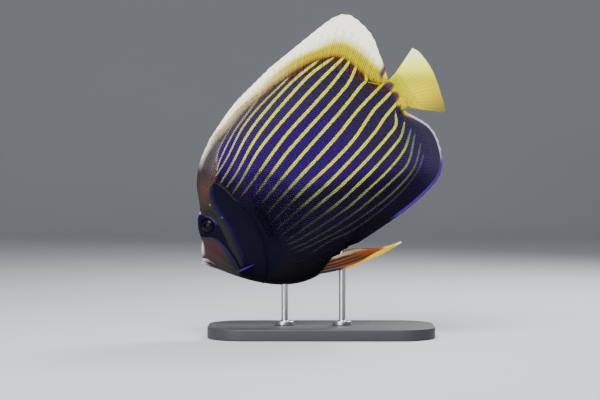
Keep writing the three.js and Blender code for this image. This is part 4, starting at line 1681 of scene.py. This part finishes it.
@dataclass(frozen=True)
class Lips:
    """The two fleshy lips of the small mouth, with the fine teeth between them."""

    radius: float = 1.9
    spacing: float = 0.85
    steps: int = 60
    segments: int = 20
    teeth: int = 22
    tooth_length: float = 1.25
    tooth_radius: float = 0.2

    def path(self, way: int, lift: float, reach: float) -> Array:
        """The line of a lip or a row of teeth, from one corner of the mouth to the other.

        Args:
            way: 1 for the upper lip and -1 for the lower.
            lift: distance from the mouth line.
            reach: share of the snout's half width.

        Returns:
            Points in the fish's frame.
        """
        share = np.linspace(-1, 1, 2 * self.steps + 1)
        along = np.abs(share) ** 1.6
        line = Run(LIP_LINE)
        run = unit(line.point(along + 0.02) - line.point(along - 0.02))
        spot = line.point(along) + way * lift * left_of(run)
        width = half_width(spot[:, 0], spot[:, 1]) * reach * np.tanh(np.abs(share) * 9)
        return np.stack([spot[:, 0], np.sign(share) * width, spot[:, 1]], -1)

    def build(self, material: bpy.types.Material, tooth: bpy.types.Material) -> None:
        """Makes both lips and their teeth.

        Args:
            material: the lips' finish.
            tooth: the teeth's finish.
        """
        for way, word in ((1, "upper"), (-1, "lower")):
            path = self.path(way, self.radius * self.spacing, 0.93)
            share = np.abs(np.linspace(-1, 1, len(path)))
            closing = 1 - ease(share, 0.985, 1.0)
            radii = self.radius * (1 - 0.62 * ease(share, 0.45, 1.0)) * closing
            points, faces = swept(path, radii, 0.9, self.segments)
            around = {"from_front": np.repeat(share, self.segments + 1)}
            fish_piece(
                Shape(points, faces, None, around), f"{word}_lip", material, "snout_skin"
            )
            self._teeth(way, word, tooth)

    def material(self) -> bpy.types.Material:
        """The lips' finish: whitish in front, brown toward the corners, finely creased."""
        n = Nodes("lip_skin")
        mottle, crease = n.noise(420, 3.0), n.noise(1100, 2.0, (1, 1, 0.3))
        share = n.value("from_front") + (mottle - 0.5) * 0.2
        colour = n.mix(n.step(share, 0.15, 0.7), paint(172, 166, 172), paint(84, 66, 68))
        colour = n.mix(n.step(crease, 0.5, 0.75) * 0.35, colour, paint(140, 122, 126))
        return n.surface(
            Base_Color=colour, Roughness=0.4 + 0.15 * mottle, Specular_IOR_Level=0.12,
            Normal=n.raised(crease, 0.3, 0.0002),
        )

    def tooth_material(self) -> bpy.types.Material:
        """The teeth's finish: cloudy ivory."""
        n = Nodes("tooth_white")
        colour = n.mix(n.noise(800, 2.0), paint(216, 206, 184), paint(236, 230, 214))
        return n.surface(Base_Color=colour, Roughness=0.3)

    def _teeth(self, way: int, word: str, tooth: bpy.types.Material) -> None:
        """A row of fine bristle teeth behind one lip.

        Args:
            way: 1 for the upper lip and -1 for the lower.
            word: upper or lower.
            tooth: the teeth's finish.
        """
        path = self.path(way, self.radius * 0.55, 0.72)
        spots = np.linspace(0.3, 0.7, self.teeth) * (len(path) - 1)
        polar = np.linspace(0, 1, 7)
        radial = self.tooth_radius * np.sqrt(np.clip(1 - polar**2.5, 0, 1)) * (polar > 0)
        axis = unit(np.array([-0.35, 0.0, -way]))
        places = path[spots.astype(int)] + (-0.4, 0, 0)
        points = [turned(radial, polar * self.tooth_length, place, axis, 8) for place in places]
        faces = [grid_faces(len(polar), 9, start=k * len(points[0])) for k in range(self.teeth)]
        shape = Shape(np.concatenate(points), np.concatenate(faces))
        fish_piece(shape, f"{word}_teeth", tooth, "snout_skin")


@dataclass(frozen=True)
class CheekSpine:
    """The long blue spine at the lower corner of the cheek."""

    root: tuple[float, float] = (20.5, -31.5)
    tip: tuple[float, float] = (42, -34.3)
    radius: float = 2.3
    lift: float = 3.2
    bow: float = 0.54
    segments: int = 24

    def build(self, side: Side, material: bpy.types.Material) -> None:
        """Makes one spine, from inside the cheek back over the gill cover.

        Args:
            side: which side of the fish.
            material: the spine's finish.
        """
        start, _ = on_skin(*self.root, side)
        end, out = on_skin(*self.tip, side)
        t = np.linspace(0, 1, 41)
        bow = self.bow * np.sin(math.pi * t)[:, None] * out
        path = start + (end + out * self.lift - start) * t[:, None] + bow
        radii = self.radius * (1 - t) ** 0.8 * (t > 0)
        points, faces = swept(path, radii, 0.82, self.segments)
        turn = np.tile(np.linspace(0, 2 * math.pi, self.segments + 1), len(t))
        lengthwise = np.repeat(t, self.segments + 1)
        shape = Shape(points, faces, None, {"lengthwise": lengthwise, "groove": np.cos(turn * 3)})
        word = side.word
        fish_piece(shape, f"{word}_cheek_spine", material, "cheek_spine", f"cheek_spine_{word}")

    def material(self) -> bpy.types.Material:
        """The spine's finish: bright violet-blue bone with fine lengthwise grooves."""
        n = Nodes("spine_blue")
        length, groove = n.value("lengthwise"), n.value("groove")
        mottle = n.noise(300, 3.0)
        colour = n.laid(
            paint(32, 32, 40),
            (n.step(length, 0.1, 0.4), paint(40, 8, 108)),
            (mottle * 0.3 + n.step(length, 0.7, 1.0) * 0.5, paint(16, 8, 44)),
            (n.step(groove, 0.2, 1.0) * 0.12, paint(90, 70, 170)),
        )
        relief = groove * 0.5 + mottle * 0.5
        return n.surface(
            Base_Color=colour, Roughness=0.36 + 0.15 * mottle, Specular_IOR_Level=0.15,
            Normal=n.raised(relief, 0.4, 0.0002),
        )


# Paired fins


@dataclass(frozen=True)
class Fan:
    """A free fin blade with raised, branching rays: a closed sheet, thickest at its root."""

    rays: int
    root_half: float
    branching: float
    edge: float = 0.8
    notch: float = 0.02
    per_ray: int = 9
    rows: int = 44

    def shape(self, middle: Callable[[Array, Array], Array], face: Array) -> Shape:
        """Makes the blade.

        Args:
            middle: the sheet's middle at shares across the root and from root to margin.
            face: the direction out of the sheet.

        Returns:
            The closed blade, with across, outward and ray values.
        """
        columns = (self.rays - 1) * self.per_ray + 1
        s, t = np.meshgrid(np.linspace(0, 1, columns), np.linspace(0, 1, self.rows), indexing="ij")
        place = s * (self.rays - 1)
        spot = middle(s, t * (1 - self.notch * between_rays(place)))
        relief = ray_relief(place, t, self.branching)
        half = fin_half(self.root_half - MEMBRANE_HALF, relief, t) - MEMBRANE_HALF * 0.2
        span = np.linalg.norm(spot[-1] - spot[0], axis=-1)[None, :]
        reach = np.linalg.norm(spot[:, -1] - spot[:, 0], axis=-1)[:, None]
        edge = np.minimum(np.minimum(s, 1 - s) * span, np.minimum(1 - t, t) * reach)
        push = face * (half * rounded(edge, self.edge))[..., None]
        points = np.concatenate([spot + push, spot - push]).reshape(-1, 3)
        faces = np.concatenate([
            grid_faces(columns, self.rows),
            grid_faces(columns, self.rows, columns * self.rows, flip=True),
        ])
        values = {"across": s, "outward": t, "ray": relief}
        values = {name: np.tile(value.ravel(), 2) for name, value in values.items()}
        return Shape(points, faces, None, values)


@dataclass(frozen=True)
class Pectoral:
    """A pectoral fin, spread back from behind the gill opening."""

    root: Points = ((69, 1), (66, -17))
    fan: tuple[float, float] = (68, -28)
    spread: float = 35
    reach: Profile = Profile((0, 44), (0.25, 56), (0.5, 58), (0.75, 50), (1, 36))
    sink: float = 5
    cup: float = 0.7
    blade: Fan = Fan(rays=17, root_half=1.5, branching=0.17)

    def build(self, side: Side, material: bpy.types.Material) -> None:
        """Makes one pectoral fin.

        Args:
            side: which side of the fish.
            material: the fin's finish.
        """
        turn = math.radians(self.spread)
        out = np.array([math.cos(turn), side.value * math.sin(turn), 0])
        face = np.array([-out[1], out[0], 0])
        line = Run(self.root)

        def middle(s: Array, t: Array) -> Array:
            """The blade's middle, cupped a little toward its tips."""
            root = line.point(s)
            depth = side.value * (half_width(root[..., 0], root[..., 1]) - 3)
            start = np.stack([root[..., 0], depth, root[..., 1]], -1)
            angle = np.radians(self.fan[0] + (self.fan[1] - self.fan[0]) * s)[..., None]
            ray = np.cos(angle) * out + np.sin(angle) * np.array([0, 0, 1])
            cup = face * (self.cup * np.sin(math.pi * s) * t**2)[..., None]
            return start + ray * ((self.reach(s) + self.sink) * t)[..., None] + cup

        shape, word = self.blade.shape(middle, face), side.word
        fish_piece(shape, f"{word}_pectoral", material, "dark_fin", f"pectoral_fin_{word}")

    def material(self) -> bpy.types.Material:
        """The fin's finish: thin dusky membrane between pale rays, clear toward its edge."""
        n = Nodes("pectoral_skin")
        outward, ray = n.value("outward"), n.value("ray")
        mottle = n.noise(220, 3.0)
        membrane = n.mix(n.step(outward, 0.05, 0.6), paint(9, 9, 24), paint(14, 10, 28))
        colour = n.mix(ray * 0.5, membrane, paint(22, 20, 34))
        colour = n.mix(mottle * 0.3, colour, paint(10, 9, 20))
        solid = 1 - n.step(outward, 0.04, 0.4) * (0.92 - 0.24 * ray)
        return n.surface(
            Base_Color=colour, Roughness=0.6 + 0.2 * mottle, Alpha=solid, Specular_IOR_Level=0.02,
            Normal=n.raised(ray + mottle * 0.3, 0.2, 0.0001),
        )


@dataclass(frozen=True)
class Pelvic:
    """A pelvic fin: a long folded blade that trails below the belly."""

    root: Points = ((83, -79.5), (101, -74))
    margin: Points = ((180, -104.5), (163, -99.8), (148, -91.8), (138, -84.5), (129, -79.8))
    inset: float = 5
    splay: float = 5
    bend: float = -0.06
    fold: float = 0.8
    blade: Fan = Fan(rays=6, root_half=1.4, branching=0.2, notch=0.003, per_ray=16, rows=70)

    def build(self, side: Side, material: bpy.types.Material) -> None:
        """Makes one pelvic fin.

        Args:
            side: which side of the fish.
            material: the fin's finish.
        """
        root, margin = Run(self.root), Run(self.margin)

        def middle(s: Array, t: Array) -> Array:
            """The blade's middle, bent down along its leading edge."""
            start, run = root.point(s), margin.point(s) - root.point(s)
            bow = (self.bend * (1 - s) * 4 * t * (1 - t))[..., None]
            flat = start + run * t[..., None] + left_of(run) * bow
            fold = self.fold * np.sin(s * math.pi * (self.blade.rays - 1)) * t * (1 - t)
            depth = side.value * (self.inset + self.splay * t + fold)
            return np.stack([flat[..., 0], depth, flat[..., 1]], -1)

        shape, word = self.blade.shape(middle, np.array([0.0, 1.0, 0.0])), side.word
        fish_piece(shape, f"{word}_pelvic", material, "pelvic_fin", f"pelvic_fin_{word}")

    def material(self) -> bpy.types.Material:
        """The fin's finish: yellow leading spine, blue at its root, maroon skin, orange rays."""
        n = Nodes("pelvic_skin")
        across, outward, ray = n.value("across"), n.value("outward"), n.value("ray")
        mottle = n.noise(260, 3.0)
        spot = across + (mottle - 0.5) * 0.08
        pale = n.step(spot + outward * 0.2, 0.84, 1.0) * n.step(outward, 0.2, 0.4)
        tip = n.step(outward, 0.93, 0.99) * (1 - n.step(spot, 0.05, 0.12))
        spine = n.laid(
            paint(28, 15, 64),
            (n.step(outward, 0.28, 0.44), paint(200, 150, 1)),
            (n.step(outward, 0.44, 0.6), paint(208, 172, 1)),
            (tip, paint(222, 220, 208)),
        )
        colour = n.laid(
            paint(18, 10, 9),
            (n.step(outward, 0.05, 0.4), paint(70, 22, 14)),
            (n.step(outward, 0.6, 0.95), paint(120, 58, 10)),
            (ray * (1 - n.step(outward, 0.5, 0.9)) * 0.6, paint(98, 68, 24)),
            (pale * (1 - n.step(outward, 0.7, 0.98) * 0.4) * 0.9, paint(158, 154, 116)),
            (1 - n.step(spot - 0.22 * n.step(outward, 0.45, 0.9), 0.08, 0.17), spine),
        )
        return n.surface(
            Base_Color=colour, Roughness=0.4 + 0.2 * mottle, Specular_IOR_Level=0.15,
            Normal=n.raised(ray + mottle * 0.3, 0.35, 0.0003),
            Subsurface_Weight=0.15, Subsurface_Scale=0.002, Subsurface_Radius=(1.0, 0.6, 0.3),
        )


# Stand


@dataclass(frozen=True)
class Stand:
    """The plain display stand: a long oval plate and two rods with round feet."""

    length: float = 236
    width: float = 116
    height: float = 12
    corner: float = 40
    edge: float = 1.5
    rod_radius: float = 3.5
    foot_radius: float = 10
    foot_height: float = 4
    gap: float = 0.3
    rods: tuple[tuple[str, float], ...] = (("front", MOUTH_X + 84), ("rear", MOUTH_X + 144))

    def build(self) -> None:
        """Makes the plate and the rods, with their finishes."""
        finish_piece(self.plate(), self.plate_paint(), "stand_paint", "stand_base")
        steel = self.rod_steel()
        for word, x in self.rods:
            finish_piece(self.rod(word, x), steel, "stand_steel", f"stand_rod_{word}")

    def plate(self) -> bpy.types.Object:
        """The plate, with its edges eased all round."""
        turns = np.linspace(0, math.pi / 2, 7)
        eased = [(self.edge * (1 - math.sin(a)), self.edge * (1 - math.cos(a))) for a in turns]
        eased += [(inset, self.height - drop) for inset, drop in reversed(eased)]
        loops = [self._loop(inset, high) for inset, high in eased]
        bottom, top = (loops[0] * 0 + (0, 0, high) for high in (0.0, self.height))
        loops = [bottom, *loops, top]
        faces = grid_faces(len(loops), len(bottom), flip=True)
        return self._made(Shape(np.concatenate(loops), faces), "display_plate", 30)

    def _loop(self, inset: float, high: float) -> Array:
        """One outline of the plate.

        Args:
            inset: how far it is drawn in from the plate's edge.
            high: its height.

        Returns:
            Points round the plate, the first one again at the end.
        """
        corners = []
        for k, (sx, sy) in enumerate(((1, 1), (-1, 1), (-1, -1), (1, -1))):
            centre = (sx * (self.length / 2 - self.corner), sy * (self.width / 2 - self.corner))
            angle = np.linspace(0, math.pi / 2, 25) + k * math.pi / 2
            arc = np.stack([np.cos(angle), np.sin(angle)], -1) * (self.corner - inset)
            corners.append(centre + arc)
        flat = np.concatenate([*corners, corners[0][:1]])
        return np.column_stack([flat, np.full(len(flat), high)])

    def rod(self, word: str, x: float) -> bpy.types.Object:
        """A rod with its foot, up to the fish's belly.

        Args:
            word: front or rear.
            x: where it stands along the plate.

        Returns:
            The rod's object.
        """
        low = self.height + self.gap
        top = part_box(f"stand_rod_{word}")[1].z / MM + 0.25 - low
        foot, rise, radius, fillet = self.foot_radius, self.foot_height, self.rod_radius, 1.2
        turns = [(math.sin(a), math.cos(a)) for a in np.linspace(0, math.pi / 2, 6)]
        profile = [(0, 0), (foot - 0.3, 0), (foot, 0.3)]
        profile += [(foot - 1 + 0.9 * c, rise - 0.9 + 0.9 * s) for s, c in turns]
        profile += [(radius + fillet * (1 - s), rise + fillet * (1 - c)) for s, c in turns]
        profile += [(radius, top), (0, top)]
        radial, axial = np.array(profile).T
        points = turned(radial, axial, np.array([x, 0.0, low]), np.array([0.0, 0.0, 1.0]), 64)
        faces = grid_faces(len(profile), 65, flip=True)
        return self._made(Shape(points, faces), f"rod_{word}", 40)

    @staticmethod
    def _made(shape: Shape, name: str, degrees: float) -> bpy.types.Object:
        """Makes a piece of the stand, smooth except across edges sharper than an angle.

        Args:
            shape: the piece in the row frame, in millimetres.
            name: the piece's name.
            degrees: the angle.

        Returns:
            The piece's object.
        """
        whole = shape.welded()
        whole.points = whole.points * MM
        made = whole.object(name)
        made.data.set_sharp_from_angle(angle=math.radians(degrees))
        return made

    def plate_paint(self) -> bpy.types.Material:
        """Matt dark grey paint with a fine orange-peel texture."""
        n = Nodes("plate_paint")
        peel, cloud = n.noise(1500, 2.0), n.noise(16, 4.0)
        colour = n.mix(cloud, paint(44, 46, 50), paint(54, 56, 60))
        rough = 0.48 + 0.14 * cloud + 0.06 * peel
        return n.surface(Base_Color=colour, Roughness=rough, Normal=n.raised(peel, 0.25, 0.0001))

    def rod_steel(self) -> bpy.types.Material:
        """Brushed steel, with its fine marks round the rod."""
        n = Nodes("rod_steel")
        brushed = n.noise(300, 3.0, (1, 1, 18))
        colour = n.mix(brushed, paint(168, 170, 174), paint(206, 208, 210))
        return n.surface(
            Base_Color=colour, Metallic=1.0, Roughness=0.22 + 0.2 * brushed,
            Normal=n.raised(brushed, 0.15, 0.00005),
        )


# Studio


@dataclass(frozen=True)
class Studio:
    """The plain studio: pale floor that curves up behind, soft lights and the camera."""

    aim: tuple[float, float, float] = (-0.022, 0.0, 0.1424)
    azimuth: float = 0
    elevation: float = 2
    distance: float = 2.4
    lens: float = 138.2

    def build(self) -> None:
        """Sets the whole studio up."""
        self.sweep()
        self.light("key_light", (-0.2, -0.55, 1.15), (0.0, 0.0, 0.18), 0.7, 32)
        self.light("fill_light", (-0.9, -1.5, 0.5), (0.0, 0.0, 0.16), 0.9, 19)
        self.light("rim_light", (0.5, 0.75, 0.85), (0.02, 0.0, 0.2), 0.5, 18)
        self.world()
        self.camera()

    def sweep(self) -> None:
        """The floor, which bends up into the backdrop."""
        turn = np.linspace(0, math.pi / 2, 25)
        profile = [(-3.0, 0.0), (2.0, 0.0)]
        profile += [(2.0 + 1.5 * math.sin(a), 1.5 * (1 - math.cos(a))) for a in turn[1:]]
        profile += [(3.5, 4.5)]
        points = np.array([(x, y, z) for x in (-5.0, 5.0) for y, z in profile])
        made = Shape(points, grid_faces(2, len(profile))).object("floor_sweep")
        n = Nodes("floor_paper")
        fibre, cloud = n.noise(90, 3.0), n.noise(1.2, 2.0)
        colour = n.mix(cloud, paint(176, 180, 184), paint(190, 192, 194))
        normal = n.raised(fibre, 0.05, 0.0005)
        made.data.materials.append(
            n.surface(Base_Color=colour, Roughness=0.75 + 0.1 * fibre, Normal=normal)
        )

    def light(
        self, name: str, place: tuple[float, float, float], aim: tuple[float, float, float],
        size: float, power: float,
    ) -> None:
        """One square soft light.

        Args:
            name: the light's name.
            place: where it hangs, in metres.
            aim: the point it faces.
            size: its side in metres.
            power: its watts.
        """
        lamp = bpy.data.lights.new(name, "AREA")
        lamp.size, lamp.energy = size, power
        self._set_up(lamp, Vector(place), Vector(aim))

    @staticmethod
    def _set_up(data: bpy.types.ID, place: Vector, aim: Vector) -> bpy.types.Object:
        """Sets a light or the camera up at a place, facing a point.

        Args:
            data: the light's or the camera's data.
            place: where it stands, in metres.
            aim: the point it faces.

        Returns:
            The new object, linked to the scene.
        """
        made = bpy.data.objects.new(data.name, data)
        made.location = place
        made.rotation_mode = "QUATERNION"
        made.rotation_quaternion = (aim - place).to_track_quat("-Z", "Y")
        bpy.context.scene.collection.objects.link(made)
        return made

    def world(self) -> None:
        """A pale, even surround."""
        world = bpy.data.worlds.new("studio_air")
        world.use_nodes = True
        shade = world.node_tree.nodes["Background"]
        shade.inputs["Color"].default_value = (0.85, 0.9, 1.0, 1.0)
        shade.inputs["Strength"].default_value = 0.2
        bpy.context.scene.world = world

    def camera(self) -> None:
        """The camera, at the photograph's viewing angle."""
        lens = bpy.data.cameras.new("camera")
        lens.lens, lens.sensor_width = self.lens, 36
        lens.clip_start, lens.clip_end = 0.01, 60
        a, e = math.radians(self.azimuth), math.radians(self.elevation)
        back = Vector((math.sin(a) * math.cos(e), -math.cos(a) * math.cos(e), math.sin(e)))
        aim = Vector(self.aim)
        bpy.context.scene.camera = self._set_up(lens, aim + back * self.distance, aim)


def main() -> None:
    """Builds the fish, its stand and the studio in order."""
    logging.basicConfig(level=logging.INFO, format="%(name)s %(message)s")
    grid, values = Skin().build()
    Scales().build(grid, values)
    lips = Lips()
    lips.build(lips.material(), lips.tooth_material())
    pairs = [(part, part.material()) for part in (Eye(), CheekSpine(), Pectoral(), Pelvic())]
    for side in Side:
        for part, material in pairs:
            part.build(side, material)
    Stand().build()
    Studio().build()


if __name__ == "__main__":
    main()
